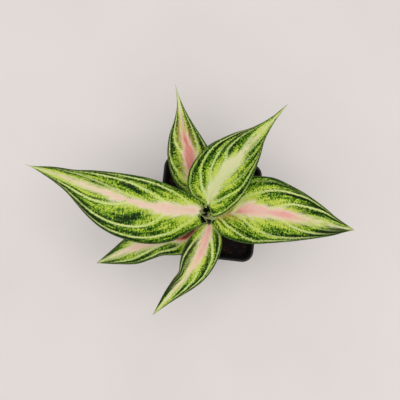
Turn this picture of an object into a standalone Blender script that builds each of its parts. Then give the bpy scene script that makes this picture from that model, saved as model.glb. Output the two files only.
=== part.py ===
"""A young aglaonema with six marked leaves in a small square nursery pot.

Every size below is in millimetres, and MM turns it into Blender's metres.
The origin is the centre of the pot's flat base, +Z is up, and the sides of
the pot lie along X and Y. Each leaf is one piece: a sheath that clasps the
stem, a channelled petiole, and a blade with a rib below it.
"""
import math

import bmesh
import bpy
import numpy as np
from mathutils import Vector

MM = 0.001
GAP = 0.3

# Pot
POT_HEIGHT = 72.0
RIM_SIDE = 79.0
BASE_SIDE = 57.0
RIM_CORNER = 9.0
BASE_CORNER = 7.0
POT_WALL = 1.1
FLOOR_THICK = 1.6
FOOT_BEVEL = 0.8
LIP_HEIGHT = 5.0
LIP_OUT = 1.5
LIP_ROUND = 0.6
STEP_DROP = 15.0
STEP_IN = 0.9
STEP_SLOPE = 1.0
CORNER_STEPS = 6
DRAIN_RADIUS = 4.0
DRAIN_OFFSET = 15.5
DRAIN_SIDES = 16

# Soil
SOIL_HEIGHT = 63.0
SOIL_LUMP = 0.55
SOIL_MOUND = 1.6
MOUND_SPREAD = 17.0
SOIL_SINK = 1.2
SOIL_SIDES = 40
SOIL_RINGS = 8

# Stem
STEM_AXIS = (-1.3, 1.0)
STEM_FOOT = 32.0
STEM_SIDES = 24
SCAR_LEVEL = 66.5
SCAR_WIDTH = 0.8
SCAR_DEPTH = 0.35
HOLE_CLEARANCE = 0.35

# Sheaths, counted from the innermost
SHEATH_INNER = 1.4
SHEATH_WALL = 0.9
SHEATH_PITCH = SHEATH_WALL + GAP
LOWEST_NODE = 70.0
NODE_PITCH = 4.0
SHOULDER_RISE = 0.25
SHEATH_HALF_ANGLE = math.radians(105.0)
PETIOLE_HALF_ANGLE = math.radians(62.0)
PETIOLE_DEPTH = 2.0
PETIOLE_EDGE = 0.8

# Shares of the petiole's length, from its foot, between which it changes
TURNS = (0.3, 1.0)
OPENS = (0.08, 0.5)
NARROWS = (0.4, 0.85)
THICKENS = (0.3, 0.8)
CLASPS = (0.65, 1.0)

# Blades
BLADE_THICK = 0.8
RIB_DEPTH = 1.5
RIB_SHARE = 0.12
RIB_TAPER = 0.8
FOLD_FADE = 0.6
RIPPLE_LAG = 0.35
COLUMNS = (-1.0, -0.8, -0.56, -0.32, -0.1, 0.0, 0.1, 0.32, 0.56, 0.8, 1.0)
BLADE_ROWS = 20
PETIOLE_ROWS = 12
EVEN_ROWS = 0.55
TIP_FRACTION = 0.99

# Each leaf: rank counts from the youngest, base is where the blade joins the
# petiole, azimuth is the way from base to tip, and heights are the rib's at
# quarters of the length. rib, left and right are (along, across) from the base.
# The petiole stands on the stem at side, stays upright for a share of its climb,
# and bends at the knee, this far behind and below the base. Its top is a channel
# of this radius that clasps this many degrees to each side of its bed.
LEAVES = {
    "leaf_upper_right": {
        "rank": 0, "base": (-1.3, 3.8), "azimuth": 58.3, "length": 89.0, "side": 90.0,
        "heights": (150.0, 163.0, 173.0, 180.0, 184.0),
        "stay": 0.74, "knee": (1.8, 7.0), "channel": 1.4, "clasp": 138.0,
        "rib": ((0, 0), (4, 2.2), (12, 3.8), (33, 3), (55, 1.9), (89, 0)),
        "left": ((0, 0), (-1.6, 4), (-2, 8.5), (-2.3, 13), (-0.7, 18), (3, 22), (7.5, 24.6), (12, 26.4),
                 (21, 27.4), (32, 26.2), (40, 23), (51, 16.9), (61, 9.8), (74, 3.7), (89, 0)),
        "right": ((0, 0), (-2, -3), (-4.6, -5.6), (-5.2, -8.6), (-1, -11.7), (5, -13.8), (15, -15.5),
                  (24, -15), (33, -13), (49, -7.6), (60, -3), (74, -0.5), (89, 0)),
        "fold": 20.0, "droop": 0.75, "wave": (1.2, 1.6, 0.1),
    },
    "leaf_left": {
        "rank": 1, "base": (-7.0, -1.7), "azimuth": 171.5, "length": 134.0, "side": 210.0,
        "heights": (143.0, 154.0, 157.0, 152.0, 140.0),
        "stay": 0.5, "knee": (2.6, 6.4), "channel": 1.2, "clasp": 75.0,
        "rib": ((0, 0), (18, 2.2), (37, 3.6), (55, 3.2), (75, 1.8), (98, 0.8), (127, 0.2), (134, 0)),
        "left": ((0, 0), (-0.5, 3), (-2.2, 5.8), (-3.9, 8.4), (-2.2, 11.4), (4.4, 17.6), (15, 27),
                 (32, 33), (51, 33.4), (65, 30.4), (77, 24.8), (88, 17.6), (98, 11.2), (111, 5.8),
                 (127, 0.9), (134, 0)),
        "right": ((0, 0), (-1.6, -3), (-0.8, -6), (1.9, -7.9), (6, -9), (18, -11.5), (32, -13.3), (45, -13.6),
                  (63, -11.8), (82, -8.8), (95, -5.8), (111, -3.9), (127, -0.5), (134, 0)),
        "fold": 17.0, "droop": 0.85, "wave": (1.3, 1.9, 0.45),
    },
    "leaf_right": {
        "rank": 2, "base": (4.0, -5.8), "azimuth": 1.5, "length": 105.0, "side": -115.0,
        "heights": (136.0, 146.0, 149.0, 144.0, 133.0),
        "stay": 0.7, "knee": (8.3, 5.5), "channel": 0.9, "clasp": 80.0,
        "rib": ((0, 0), (10, 3.9), (22, 7.4), (34, 7.7), (51, 6.3), (63, 4.7), (80, 2.6), (105, 0)),
        "left": ((0, 0), (-2, 5), (-0.5, 13), (5, 22), (14, 29.5), (25, 33), (36, 33.6), (44, 32.4),
                 (55, 28.2), (66, 23.2), (79, 15.6), (90, 8.2), (105, 0)),
        "right": ((0, 0), (0, -3.4), (1.9, -7), (4.8, -10.8), (9.5, -13.4), (16, -15.2), (23, -16.2),
                  (31, -16.2), (48, -13.6), (64, -10.8), (86, -6), (97, -2.4), (105, 0)),
        "fold": 16.0, "droop": 0.85, "wave": (1.2, 1.8, 0.2),
    },
    "leaf_bottom": {
        "rank": 3, "base": (0.9, -11.2), "azimuth": -115.3, "length": 81.2, "side": -78.0,
        "heights": (128.0, 136.0, 137.5, 131.0, 119.0),
        "stay": 0.42, "knee": (2.3, 6.6), "channel": 1.3, "clasp": 62.0,
        "rib": ((0, 0), (3, 2), (14, 5.2), (26, 7.8), (39, 6.8), (54, 4.2), (70, 1.7), (81.2, 0)),
        "left": ((0, 0), (-2.6, 2.8), (-1.9, 6.7), (0.7, 11), (8, 16.2), (16.5, 18.9), (26.4, 19.6),
                 (36, 18.5), (46, 15), (60, 8.3), (70.5, 3.9), (81.2, 0)),
        "right": ((0, 0), (1.8, -3.4), (7.2, -5.4), (16, -7.2), (26, -6.8), (34.6, -4), (41.4, -1),
                  (48.6, -1.6), (60, -1.8), (72, -0.9), (81.2, 0)),
        "fold": 18.0, "droop": 0.8, "wave": (1.6, 1.7, 0.6),
    },
    "leaf_top": {
        "rank": 4, "base": (-8.7, 7.0), "azimuth": 108.0, "length": 88.0, "side": 130.0,
        "heights": (122.0, 133.0, 138.5, 137.0, 130.0),
        "stay": 0.55, "knee": (1.6, 6.8), "channel": 1.3, "clasp": 62.0,
        "rib": ((0, 0), (8.5, 0.6), (32, 0.3), (60, 0.4), (80, 0.1), (88, 0)),
        "left": ((0, 0), (2.5, 3.6), (7.7, 9.5), (14, 14.5), (23.4, 16.8), (32.5, 16.8), (41, 15.4),
                 (51, 11.8), (60, 6.6), (70, 2.3), (80, 0.7), (88, 0)),
        "right": ((0, 0), (0.5, -4.6), (6, -11), (14, -15.2), (24, -16.6), (32, -15.6), (38, -13.7),
                  (45, -11.1), (56, -6.8), (68, -3), (80, -0.6), (88, 0)),
        "fold": 17.0, "droop": 0.8, "wave": (1.1, 1.6, 0.3),
    },
    "leaf_lower_left": {
        "rank": 5, "base": (-6.6, -12.0), "azimuth": -152.6, "length": 84.5, "side": -108.0,
        "heights": (112.0, 120.0, 122.5, 118.0, 107.0),
        "stay": 0.22, "knee": (1.3, 6.8), "channel": 1.3, "clasp": 62.0,
        "rib": ((0, 0), (5.6, 1.9), (15, 4.6), (33, 2.9), (50, -0.4), (68, -0.8), (84.5, 0)),
        "left": ((0, 0), (-1.6, 4.4), (2, 10), (9, 14.8), (18, 16.8), (25, 15.4), (34, 12.2), (44, 11.8),
                 (55, 11.2), (68, 6.6), (84.5, 0)),
        "right": ((0, 0), (0, -4.2), (5, -9.4), (12, -13.2), (21, -15), (32, -14.8), (44, -13),
                  (57, -9.8), (66, -6.6), (75, -3.4), (84.5, 0)),
        "fold": 16.0, "droop": 0.8, "wave": (1.4, 1.8, 0.0),
    },
}

# Colours are sRGB hex, turned linear by linear_colour
MATERIALS = {
    "pot": ("2A2426", 0.42),
    "soil": ("3A2A22", 0.95),
    "stem": ("6F8A3E", 0.5),
    "leaf": ("7FA03A", 0.42),
}


def clear_scene():
    for thing in list(bpy.data.objects):
        bpy.data.objects.remove(thing, do_unlink=True)


def linear_colour(code):
    channels = []
    for start in (0, 2, 4):
        value = int(code[start:start + 2], 16) / 255.0
        if value <= 0.04045:
            channels.append(value / 12.92)
        else:
            channels.append(((value + 0.055) / 1.055) ** 2.4)
    return (*channels, 1.0)


def make_material(name, kind):
    code, roughness = MATERIALS[kind]
    material = bpy.data.materials.new(name)
    material.use_nodes = True
    shader = material.node_tree.nodes["Principled BSDF"]
    shader.inputs["Base Color"].default_value = linear_colour(code)
    shader.inputs["Roughness"].default_value = roughness
    shader.inputs["Metallic"].default_value = 0.0
    return material


def add_object(name, points, faces, kind, smooth_angle=40.0):
    mesh = bpy.data.meshes.new(name)
    mesh.from_pydata([tuple(float(value) * MM for value in point) for point in points], [], faces)
    mesh.validate()
    mesh.shade_smooth()
    mesh.set_sharp_from_angle(angle=math.radians(smooth_angle))
    mesh.materials.append(make_material(name, kind))
    thing = bpy.data.objects.new(name, mesh)
    bpy.context.collection.objects.link(thing)
    return thing


def tube_faces(rings, sides):
    """Faces of a closed tube of rings, with a flat cap at each end."""
    faces = [tuple(reversed(range(sides)))]
    for ring in range(rings - 1):
        low = ring * sides
        for side in range(sides):
            following = (side + 1) % sides
            faces.append((low + side, low + following, low + sides + following, low + sides + side))
    faces.append(tuple(range((rings - 1) * sides, rings * sides)))
    return faces


def smooth_curve(points, fractions, spans=16):
    """Points at fractions of the length of a smooth curve through the given points."""
    known = np.array(points, float)
    ends = np.vstack([2 * known[0] - known[1], known, 2 * known[-1] - known[-2]])
    steps = np.linspace(0.0, 1.0, spans, endpoint=False)[:, None]
    dense = []
    for index in range(1, len(ends) - 2):
        before, start, end, after = ends[index - 1:index + 3]
        bend = (2 * before - 5 * start + 4 * end - after) * steps ** 2
        turn = (3 * start - before - 3 * end + after) * steps ** 3
        dense.append(0.5 * (2 * start + (end - before) * steps + bend + turn))
    dense.append(known[-1:])
    path = np.vstack(dense)
    reach = np.concatenate([[0.0], np.cumsum(np.linalg.norm(np.diff(path, axis=0), axis=1))])
    return np.column_stack([np.interp(np.array(fractions) * reach[-1], reach, path[:, axis])
                            for axis in range(path.shape[1])])


def unit(vector):
    return vector / np.linalg.norm(vector)


def heading(degrees):
    angle = math.radians(degrees)
    return np.array([math.cos(angle), math.sin(angle), 0.0])


def rounded_square(side, corner, height):
    """Corners of a rounded square ring, anticlockwise from above."""
    middle = side / 2 - corner
    ring = []
    for quarter in range(4):
        centre_angle = math.pi / 4 + quarter * math.pi / 2
        centre_x = math.copysign(middle, math.cos(centre_angle))
        centre_y = math.copysign(middle, math.sin(centre_angle))
        for step in range(CORNER_STEPS + 1):
            angle = quarter * math.pi / 2 + step / CORNER_STEPS * math.pi / 2
            ring.append((centre_x + corner * math.cos(angle), centre_y + corner * math.sin(angle), height))
    return ring


def wall_at(height, inset):
    """Side and corner radius of the tapered wall at a height, moved in by inset."""
    share = height / POT_HEIGHT
    side = BASE_SIDE + share * (RIM_SIDE - 2 * LIP_OUT - BASE_SIDE)
    corner = BASE_CORNER + share * (RIM_CORNER - LIP_OUT - BASE_CORNER)
    below_step = height < POT_HEIGHT - STEP_DROP
    step = STEP_IN if below_step else 0.0
    return side - 2 * (inset + step), corner - inset - step


def wall_ring(height, inset, level=None):
    side, corner = wall_at(height, inset)
    return rounded_square(side, corner, height if level is None else level)


def step_levels():
    """Heights where the stacking step of the wall starts and ends."""
    step = POT_HEIGHT - STEP_DROP
    return step - 0.01, step + STEP_SLOPE


def build_pot():
    """One tapered shell: up the outside, over the lip, down the inside to the floor."""
    under, over = step_levels()
    lip_foot = POT_HEIGHT - LIP_HEIGHT
    lip_inner = POT_WALL + LIP_ROUND
    floor_edge = FLOOR_THICK + FOOT_BEVEL
    rings = [
        wall_ring(0.0, FOOT_BEVEL),
        wall_ring(FOOT_BEVEL, 0.0),
        wall_ring(under, 0.0),
        wall_ring(over, 0.0),
        wall_ring(lip_foot - LIP_ROUND, 0.0),
        rounded_square(RIM_SIDE - LIP_ROUND, RIM_CORNER - LIP_ROUND / 2, lip_foot),
        rounded_square(RIM_SIDE, RIM_CORNER, lip_foot + LIP_ROUND),
        rounded_square(RIM_SIDE, RIM_CORNER, POT_HEIGHT - LIP_ROUND),
        rounded_square(RIM_SIDE - 2 * LIP_ROUND, RIM_CORNER - LIP_ROUND, POT_HEIGHT),
        rounded_square(RIM_SIDE - 2 * lip_inner, RIM_CORNER - lip_inner, POT_HEIGHT),
        wall_ring(POT_HEIGHT - 2.0, POT_WALL),
        wall_ring(over, POT_WALL, over + GAP),
        wall_ring(under, POT_WALL, under - GAP),
        wall_ring(floor_edge, POT_WALL),
        wall_ring(floor_edge, POT_WALL + FOOT_BEVEL, FLOOR_THICK),
    ]
    sides = len(rings[0])
    points = [point for ring in rings for point in ring]
    pot = add_object("pot", points, tube_faces(len(rings), sides), "pot")
    holes = bpy.data.collections.new("drain_holes")
    for x in (-DRAIN_OFFSET, DRAIN_OFFSET):
        for y in (-DRAIN_OFFSET, DRAIN_OFFSET):
            mesh = bpy.data.meshes.new("drain_hole")
            shape = bmesh.new()
            bmesh.ops.create_cone(shape, cap_ends=True, segments=DRAIN_SIDES, radius1=DRAIN_RADIUS * MM,
                                  radius2=DRAIN_RADIUS * MM, depth=4 * FLOOR_THICK * MM)
            bmesh.ops.translate(shape, verts=shape.verts, vec=Vector((x, y, FLOOR_THICK / 2)) * MM)
            shape.to_mesh(mesh)
            shape.free()
            holes.objects.link(bpy.data.objects.new("drain_hole", mesh))
    cut = pot.modifiers.new("drain_holes", "BOOLEAN")
    cut.operation = "DIFFERENCE"
    cut.operand_type = "COLLECTION"
    cut.collection = holes
    apply_modifiers(pot)
    for hole in list(holes.objects):
        bpy.data.objects.remove(hole, do_unlink=True)
    bpy.data.collections.remove(holes)


def apply_modifiers(thing):
    depsgraph = bpy.context.evaluated_depsgraph_get()
    baked = bpy.data.meshes.new_from_object(thing.evaluated_get(depsgraph))
    thing.modifiers.clear()
    thing.data = baked


def soil_level(x, y):
    """Height of the lumpy soil surface: a few crossing waves, highest at the stem."""
    lumps = (math.sin(0.31 * x + 0.9) * math.cos(0.27 * y - 0.4)
             + 0.6 * math.sin(0.63 * x - 0.52 * y + 2.0)
             + 0.4 * math.cos(0.47 * x + 0.83 * y + 0.6))
    mound = SOIL_MOUND * math.exp(-(x * x + y * y) / MOUND_SPREAD ** 2)
    return SOIL_HEIGHT + mound + SOIL_LUMP * lumps


def square_reach(side, corner, angle):
    """Distance from the centre of a rounded square to its edge, along an angle."""
    near, far = sorted((abs(math.cos(angle)), abs(math.sin(angle))))
    middle = side / 2 - corner
    if near / far * side / 2 <= middle:
        return side / 2 / far
    return middle * (near + far) + math.sqrt(corner ** 2 - (middle * (near - far)) ** 2)


def soil_wall(height, inset, level):
    side, corner = wall_at(height, inset)
    ring = []
    for index in range(SOIL_SIDES):
        angle = 2 * math.pi * index / SOIL_SIDES
        reach = square_reach(side, corner, angle)
        ring.append((reach * math.cos(angle), reach * math.sin(angle), level))
    return ring


def stem_radius():
    """The cane is as wide as the outermost sheath that stands on it."""
    return SHEATH_INNER + (len(LEAVES) - 1) * SHEATH_PITCH + SHEATH_WALL


def build_soil():
    under, over = step_levels()
    floor = FLOOR_THICK + GAP
    inset = POT_WALL + GAP
    hole = stem_radius() + HOLE_CLEARANCE
    rings = [
        soil_wall(floor + 1.0, inset + 1.0, floor),
        soil_wall(floor + 1.0, inset, floor + 1.0),
        soil_wall(under, inset, under - 2 * GAP),
        soil_wall(over, inset, over + 2 * GAP),
    ]
    rim = soil_wall(SOIL_HEIGHT, inset, SOIL_HEIGHT)
    rings.append([(x, y, SOIL_HEIGHT - SOIL_SINK) for x, y, _ in rim])
    for index in range(1, SOIL_RINGS + 1):
        share = index / SOIL_RINGS
        ring = []
        for x, y, _ in rim:
            angle = math.atan2(y, x)
            across = x + share * (STEM_AXIS[0] + hole * math.cos(angle) - x)
            up = y + share * (STEM_AXIS[1] + hole * math.sin(angle) - y)
            ring.append((across, up, soil_level(across, up)))
        rings.append(ring)
    rings.append([(x, y, STEM_FOOT - GAP) for x, y, _ in rings[-1]])
    points = [point for ring in rings for point in ring]
    add_object("soil", points, tube_faces(len(rings), SOIL_SIDES), "soil", smooth_angle=60.0)


def build_stem():
    """The short cane: a plain foot in the soil, a leaf scar, then a shoulder at each node."""
    full = stem_radius()
    profile = [(STEM_FOOT, full - 1.5), (STEM_FOOT + 1.5, full)]
    profile.append((SCAR_LEVEL - SCAR_WIDTH, full))
    profile.append((SCAR_LEVEL, full - SCAR_DEPTH))
    profile.append((SCAR_LEVEL + SCAR_WIDTH, full))
    profile.append((LOWEST_NODE - GAP, full))
    for rank in reversed(range(len(LEAVES))):
        level = node_level(rank) - GAP
        radius = SHEATH_INNER + rank * SHEATH_PITCH - GAP
        profile.append((level + SHOULDER_RISE, radius))
        profile.append((level + NODE_PITCH, radius))
    profile.append((profile[-1][0] + 1.0, SHEATH_INNER - 2 * GAP))
    points = []
    for level, radius in profile:
        for side in range(STEM_SIDES):
            angle = 2 * math.pi * side / STEM_SIDES
            x = STEM_AXIS[0] + radius * math.cos(angle)
            y = STEM_AXIS[1] + radius * math.sin(angle)
            points.append((x, y, level))
    add_object("stem", points, tube_faces(len(profile), STEM_SIDES), "stem")


def node_level(rank):
    """Height where a leaf's sheath stands on the stem: the youngest is the highest."""
    return LOWEST_NODE + (len(LEAVES) - 1 - rank) * NODE_PITCH


def blade_frame(leaf):
    forward = heading(leaf["azimuth"])
    leftward = heading(leaf["azimuth"] + 90.0)
    return forward, leftward


def rib_height(leaf, along):
    stations = np.linspace(0.0, leaf["length"], len(leaf["heights"]))
    return np.polyval(np.polyfit(stations, leaf["heights"], len(stations) - 1), along)


def blade_point(leaf, rib, edge, share, fraction):
    """A point of the upper face, share of the way from the rib to an edge."""
    along, across = rib + abs(share) * (edge - rib)
    half = np.linalg.norm(edge - rib)
    fold = math.tan(math.radians(leaf["fold"])) * (1.0 - FOLD_FADE * fraction)
    amplitude, waves, phase = leaf["wave"]
    offset = 0.5 if share < 0 else 0.5 * RIPPLE_LAG
    ripple = math.sin(2 * math.pi * (waves * fraction + phase + offset))
    height = rib_height(leaf, along)
    height += fold * half * abs(share) * (1.0 - leaf["droop"] * abs(share))
    height += amplitude * share * share * ripple * math.sin(math.pi * fraction)
    forward, leftward = blade_frame(leaf)
    x, y, _ = np.array([*leaf["base"], 0.0]) + along * forward + across * leftward
    return np.array([x, y, height])


def blade_rows(leaf, fractions, columns):
    """Upper points of each row across the blade, and the rib's own direction there."""
    ribs = smooth_curve(leaf["rib"], fractions)
    ahead = smooth_curve(leaf["rib"], [fraction + 0.002 for fraction in fractions])
    behind = smooth_curve(leaf["rib"], [fraction - 0.002 for fraction in fractions])
    lefts = smooth_curve(leaf["left"], fractions)
    rights = smooth_curve(leaf["right"], fractions)
    rows = []
    for index, fraction in enumerate(fractions):
        points = []
        for share in columns:
            edge = lefts[index] if share < 0 else rights[index]
            points.append(blade_point(leaf, ribs[index], edge, share, fraction))
        start = blade_point(leaf, behind[index], behind[index], 0.0, fraction)
        end = blade_point(leaf, ahead[index], ahead[index], 0.0, fraction)
        rows.append((points, unit(end - start)))
    return rows


def petiole_path(leaf, base, steps):
    """Line of the channel's bed from the node up to the blade, as a Bezier curve."""
    radial = heading(leaf["side"])
    inner = SHEATH_INNER + leaf["rank"] * SHEATH_PITCH
    foot = np.array([*STEM_AXIS, node_level(leaf["rank"])]) + inner * radial
    upright = np.array([0.0, 0.0, 1.0])
    rise = leaf["stay"] * (base[2] - foot[2])
    back, down = leaf["knee"]
    bend = base - back * heading(leaf["azimuth"]) - down * upright
    controls = (foot, foot + rise * upright, bend, base)
    path = []
    for step in steps:
        rest = 1.0 - step
        weights = (rest ** 3, 3 * rest * rest * step, 3 * rest * step * step, step ** 3)
        point = sum(weight * control for weight, control in zip(weights, controls))
        pulls = (rest * rest, 2 * rest * step, step * step)
        tangent = sum(pull * (end - start) for pull, start, end in zip(pulls, controls, controls[1:]))
        path.append((point, unit(tangent)))
    return path


def ease(low, high, value):
    share = min(max((value - low) / (high - low), 0.0), 1.0)
    return share * share * (3.0 - 2.0 * share)


def leaf_rings(leaf, petiole_rows, row_count, columns):
    """Rings of upper and lower points, from the sheath's foot to the blade's tip."""
    steps = [(index + 1) / row_count for index in range(row_count)]
    fractions = [TIP_FRACTION * (EVEN_ROWS * step + (1.0 - EVEN_ROWS) * step * step) for step in steps]
    rows = blade_rows(leaf, [0.0] + fractions, columns)
    base, slope = rows[0][0][len(columns) // 2], rows[0][1]
    start_side = leaf["side"]
    end_side = math.degrees(math.atan2(slope[1], slope[0]))
    turn = (end_side - start_side + 180.0) % 360.0 - 180.0
    inner_radius = SHEATH_INNER + leaf["rank"] * SHEATH_PITCH
    clasp = math.radians(leaf["clasp"])
    rings = []
    petiole_steps = [index / (petiole_rows - 1) for index in range(petiole_rows)]
    for step, (point, tangent) in zip(petiole_steps, petiole_path(leaf, base, petiole_steps)):
        outward = heading(start_side + turn * ease(*TURNS, step))
        outward = unit(outward - np.dot(outward, tangent) * tangent)
        sideways = np.cross(tangent, outward)
        radius = inner_radius + ease(*NARROWS, step) * (leaf["channel"] - inner_radius)
        half_angle = SHEATH_HALF_ANGLE + ease(*OPENS, step) * (PETIOLE_HALF_ANGLE - SHEATH_HALF_ANGLE)
        half_angle += ease(*CLASPS, step) * (clasp - PETIOLE_HALF_ANGLE)
        thicken = ease(*THICKENS, step)
        deepest = SHEATH_WALL + thicken * (PETIOLE_DEPTH - SHEATH_WALL)
        thinnest = SHEATH_WALL + thicken * (PETIOLE_EDGE - SHEATH_WALL)
        centre = point - radius * outward
        upper, lower = [], []
        for share in columns:
            angle = share * half_angle
            spoke = math.cos(angle) * outward - math.sin(angle) * sideways
            depth = thinnest + (deepest - thinnest) * math.cos(share * math.pi / 2) ** 2
            upper.append(centre + radius * spoke)
            lower.append(centre + (radius + depth) * spoke)
        rings.append((upper, lower))
    for fraction, (points, tangent) in zip([0.0] + fractions, rows):
        if fraction == 0.0:
            continue
        above = unit(np.array([0.0, 0.0, 1.0]) - tangent[2] * tangent)
        rib = RIB_DEPTH * (1.0 - fraction) ** RIB_TAPER
        lower = []
        for share, point in zip(columns, points):
            keel = rib * math.exp(-(share / RIB_SHARE) ** 2)
            lower.append(point - (BLADE_THICK + keel) * above)
        rings.append((points, lower))
    return rings


def leaf_faces(ring_count, columns):
    """Triangles alike on the upper and lower faces, with margins and end caps."""
    width = len(columns)
    size = 2 * width
    faces = []
    for ring in range(ring_count - 1):
        here, there = ring * size, (ring + 1) * size
        for column in range(width - 1):
            near, far = here + column, there + column
            low, far_low = near + width, far + width
            if columns[column] < 0:
                faces.extend([(near, far + 1, far), (near, near + 1, far + 1)])
                faces.extend([(low, far_low, far_low + 1), (low, far_low + 1, low + 1)])
            else:
                faces.extend([(near, near + 1, far), (near + 1, far + 1, far)])
                faces.extend([(low, far_low, low + 1), (low + 1, far_low, far_low + 1)])
        faces.append((here, there + width, here + width))
        faces.append((here, there, there + width))
        last, last_low = width - 1, size - 1
        faces.append((here + last, there + last_low, there + last))
        faces.append((here + last, here + last_low, there + last_low))
    final = (ring_count - 1) * size
    for column in range(width - 1):
        faces.append((column, width + column + 1, column + 1))
        faces.append((column, width + column, width + column + 1))
        faces.append((final + column, final + width + column + 1, final + width + column))
        faces.append((final + column, final + column + 1, final + width + column + 1))
    return faces


def build_leaf(name, leaf):
    rings = leaf_rings(leaf, PETIOLE_ROWS, BLADE_ROWS, COLUMNS)
    points = [point for upper, lower in rings for point in (*upper, *lower)]
    add_object(name, points, leaf_faces(len(rings), COLUMNS), "leaf")


def main():
    clear_scene()
    build_pot()
    build_soil()
    build_stem()
    for name, leaf in LEAVES.items():
        build_leaf(name, leaf)


main()
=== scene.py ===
"""A young aglaonema with six marked leaves in a small square nursery pot, seen from straight above.

Lengths are millimetres, and MM turns them into metres. A leaf's share runs from
-1 at its left edge over 0 at the rib to 1 at its right edge, and its fraction
from 0 at the blade's base to 1 at the tip.
"""
import functools
import math

import bpy
import numpy as np
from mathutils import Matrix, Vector, noise


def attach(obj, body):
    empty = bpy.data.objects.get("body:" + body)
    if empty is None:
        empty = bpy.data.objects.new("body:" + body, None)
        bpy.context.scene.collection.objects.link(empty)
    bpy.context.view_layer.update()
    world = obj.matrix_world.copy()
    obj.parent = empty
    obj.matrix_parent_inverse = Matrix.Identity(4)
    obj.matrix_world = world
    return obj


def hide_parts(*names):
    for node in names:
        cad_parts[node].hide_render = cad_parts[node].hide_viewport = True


MM = 0.001
# Pieces that touch in the real plant lie this far apart, as in the part's source.
GAP = 0.3

# Camera
CAMERA_PLACE = (-7.82, 6.32, 900.0)
CAMERA_ROLL = 6.4
CAMERA_LENS = 92.7
CAMERA_SENSOR = 36.0

# Light and floor
SKY_STRENGTH = 0.74
LIGHT_FROM = (0.06, 0.04, 1.0)
LIGHT_SPREAD = 40.0
LIGHT_STRENGTH = 1.2
FLOOR_REACH = 9000.0

# Pot
POT_HEIGHT = 72.0
RIM_SIDE = 79.0
BASE_SIDE = 57.0
RIM_CORNER = 9.0
BASE_CORNER = 7.0
POT_WALL = 1.1
FLOOR_THICK = 1.6
FOOT_BEVEL = 0.8
LIP_HEIGHT = 5.0
LIP_OUT = 1.5
LIP_ROUND = 0.6
STEP_LEVEL = POT_HEIGHT - 15.0
STEP_UNDER = STEP_LEVEL - 0.01
STEP_OVER = STEP_LEVEL + 1.0
STEP_IN = 0.9
CORNER_STEPS = 14
DRAIN_RADIUS = 4.0
DRAIN_OFFSET = 15.5
DRAIN_SIDES = 40

# Soil
SOIL_HEIGHT = 63.0
SOIL_LUMP = 0.55
SOIL_MOUND = 1.6
MOUND_SPREAD = 17.0
SOIL_SINK = 1.2
SOIL_SIDES = 144
SOIL_RINGS = 44
CRUMB_TONES_AT = (0.35, 0.52, 0.7)

# Stem
STEM_AXIS = (-1.3, 1.0)
STEM_FOOT = 32.0
STEM_SIDES = 64
SCAR_LEVEL = 66.5
SCAR_WIDTH = 0.8
SCAR_DEPTH = 0.35
HOLE_CLEARANCE = 0.35

# Sheaths and petioles. The pairs say from which to which share of the way up a change goes.
SHEATH_INNER = 1.4
SHEATH_WALL = 0.9
SHEATH_PITCH = SHEATH_WALL + GAP
LOWEST_NODE = 70.0
NODE_PITCH = 4.0
SHOULDER_RISE = 0.25
SHEATH_HALF_ANGLE = math.radians(105.0)
PETIOLE_HALF_ANGLE = math.radians(62.0)
PETIOLE_DEPTH = 2.0
PETIOLE_EDGE = 0.8
PETIOLE_ROWS = 46
STALK_LENGTH = 70.0
TURNS = (0.3, 1.0)
OPENS = (0.08, 0.5)
NARROWS = (0.4, 0.85)
THICKENS = (0.3, 0.8)
CLASPS = (0.65, 1.0)
MARGIN_THINS = 0.6
KNEE_PULL = 0.55
# Heights between which painted shade darkens the channels' inner faces
THROAT_PAINTED_SHADE = (122.0, 135.0)

# Blades
BLADE_THICK = 0.5
EDGE_THICK = 0.16
LEAST_PITCH = 3.6
RIB_DEPTH = 1.7
RIB_WIDTH = 2.3
GROOVE_DEPTH = 0.4
GROOVE_WIDTH = 0.8
FOLD_FADE = 0.6
RIPPLE_LAG = 0.35
FIRST_FRACTION = 0.0283
KNEE_ROWS = 12
TIP_FRACTION = 0.997
TIP_THINS = (0.6, 0.85, 1.0)
VEIN_DEPTH = 0.22
VEIN_WIDTH = 0.9
QUILT_RISE = 0.16
QUILT_SPREAD = 6.0
RIB_STEP = 0.002
FRILL = 0.3
FRILL_PER_WAVE = 4.3

# Markings. Towards the tip they draw together, from FULL_HALF of half width down to LEAST_NARROW of it.
FULL_HALF = 13.0
LEAST_NARROW = 0.22
SPECKLE_SIZE = 0.95
FLECK_SLANT = 0.7
# Each grain as (mm wide, mm long, detail of its noise)
FLECK = (0.6, 1.7, 2.0)
STREAK = (0.9, 10.0, 2.0)
PATCH = (3.0, 20.0, 1.0)
# How far apart the leaves lie in the noise, so that no two have the same grain
SEED_STEP = 3.7
NET_CELLS_PER_MM = 0.9

# Pale veins: how much they gain along the leaf and lose where they fade, as (amount, from, to), the closest
# that two of them come, as a share, and their spacing in mm
VEIN_GAINS = (0.5, 0.02, 0.15)
VEIN_FADES = (0.8, -0.12, 0.06)
VEIN_GAP = 0.02
VEIN_SPACING = (0.5, 30.0)

# Depth of the green: at the band, and each change as (amount, from, to)
DEPTH_AT_BAND = 0.31
DEEPER_AWAY = (0.28, 0.0, 10.0)
DEEPER_OUTWARDS = (0.26, 0.5, 0.95)
BASE_SHARE = 0.7
GAINED_ALONG = (0.45, 0.08, 0.75)
BESIDE_VEIN = 0.08
BESIDE_VEIN_AT = 2.0
STRIP_SWING = (0.13, 0.0, 4.0)
STRIP_DEEPEST = 0.27
NEAR_TIP = (0.12, 0.7, 0.85)
NEAR_TIP_SIDES = (0.3, 0.8)
MARGIN_RIM = (0.15, 0.88, 0.97)
MARGIN_RIM_FROM = (0.05, 0.2)
LOST_AT_TIP = (0.6, 0.95, 1.0)

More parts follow.
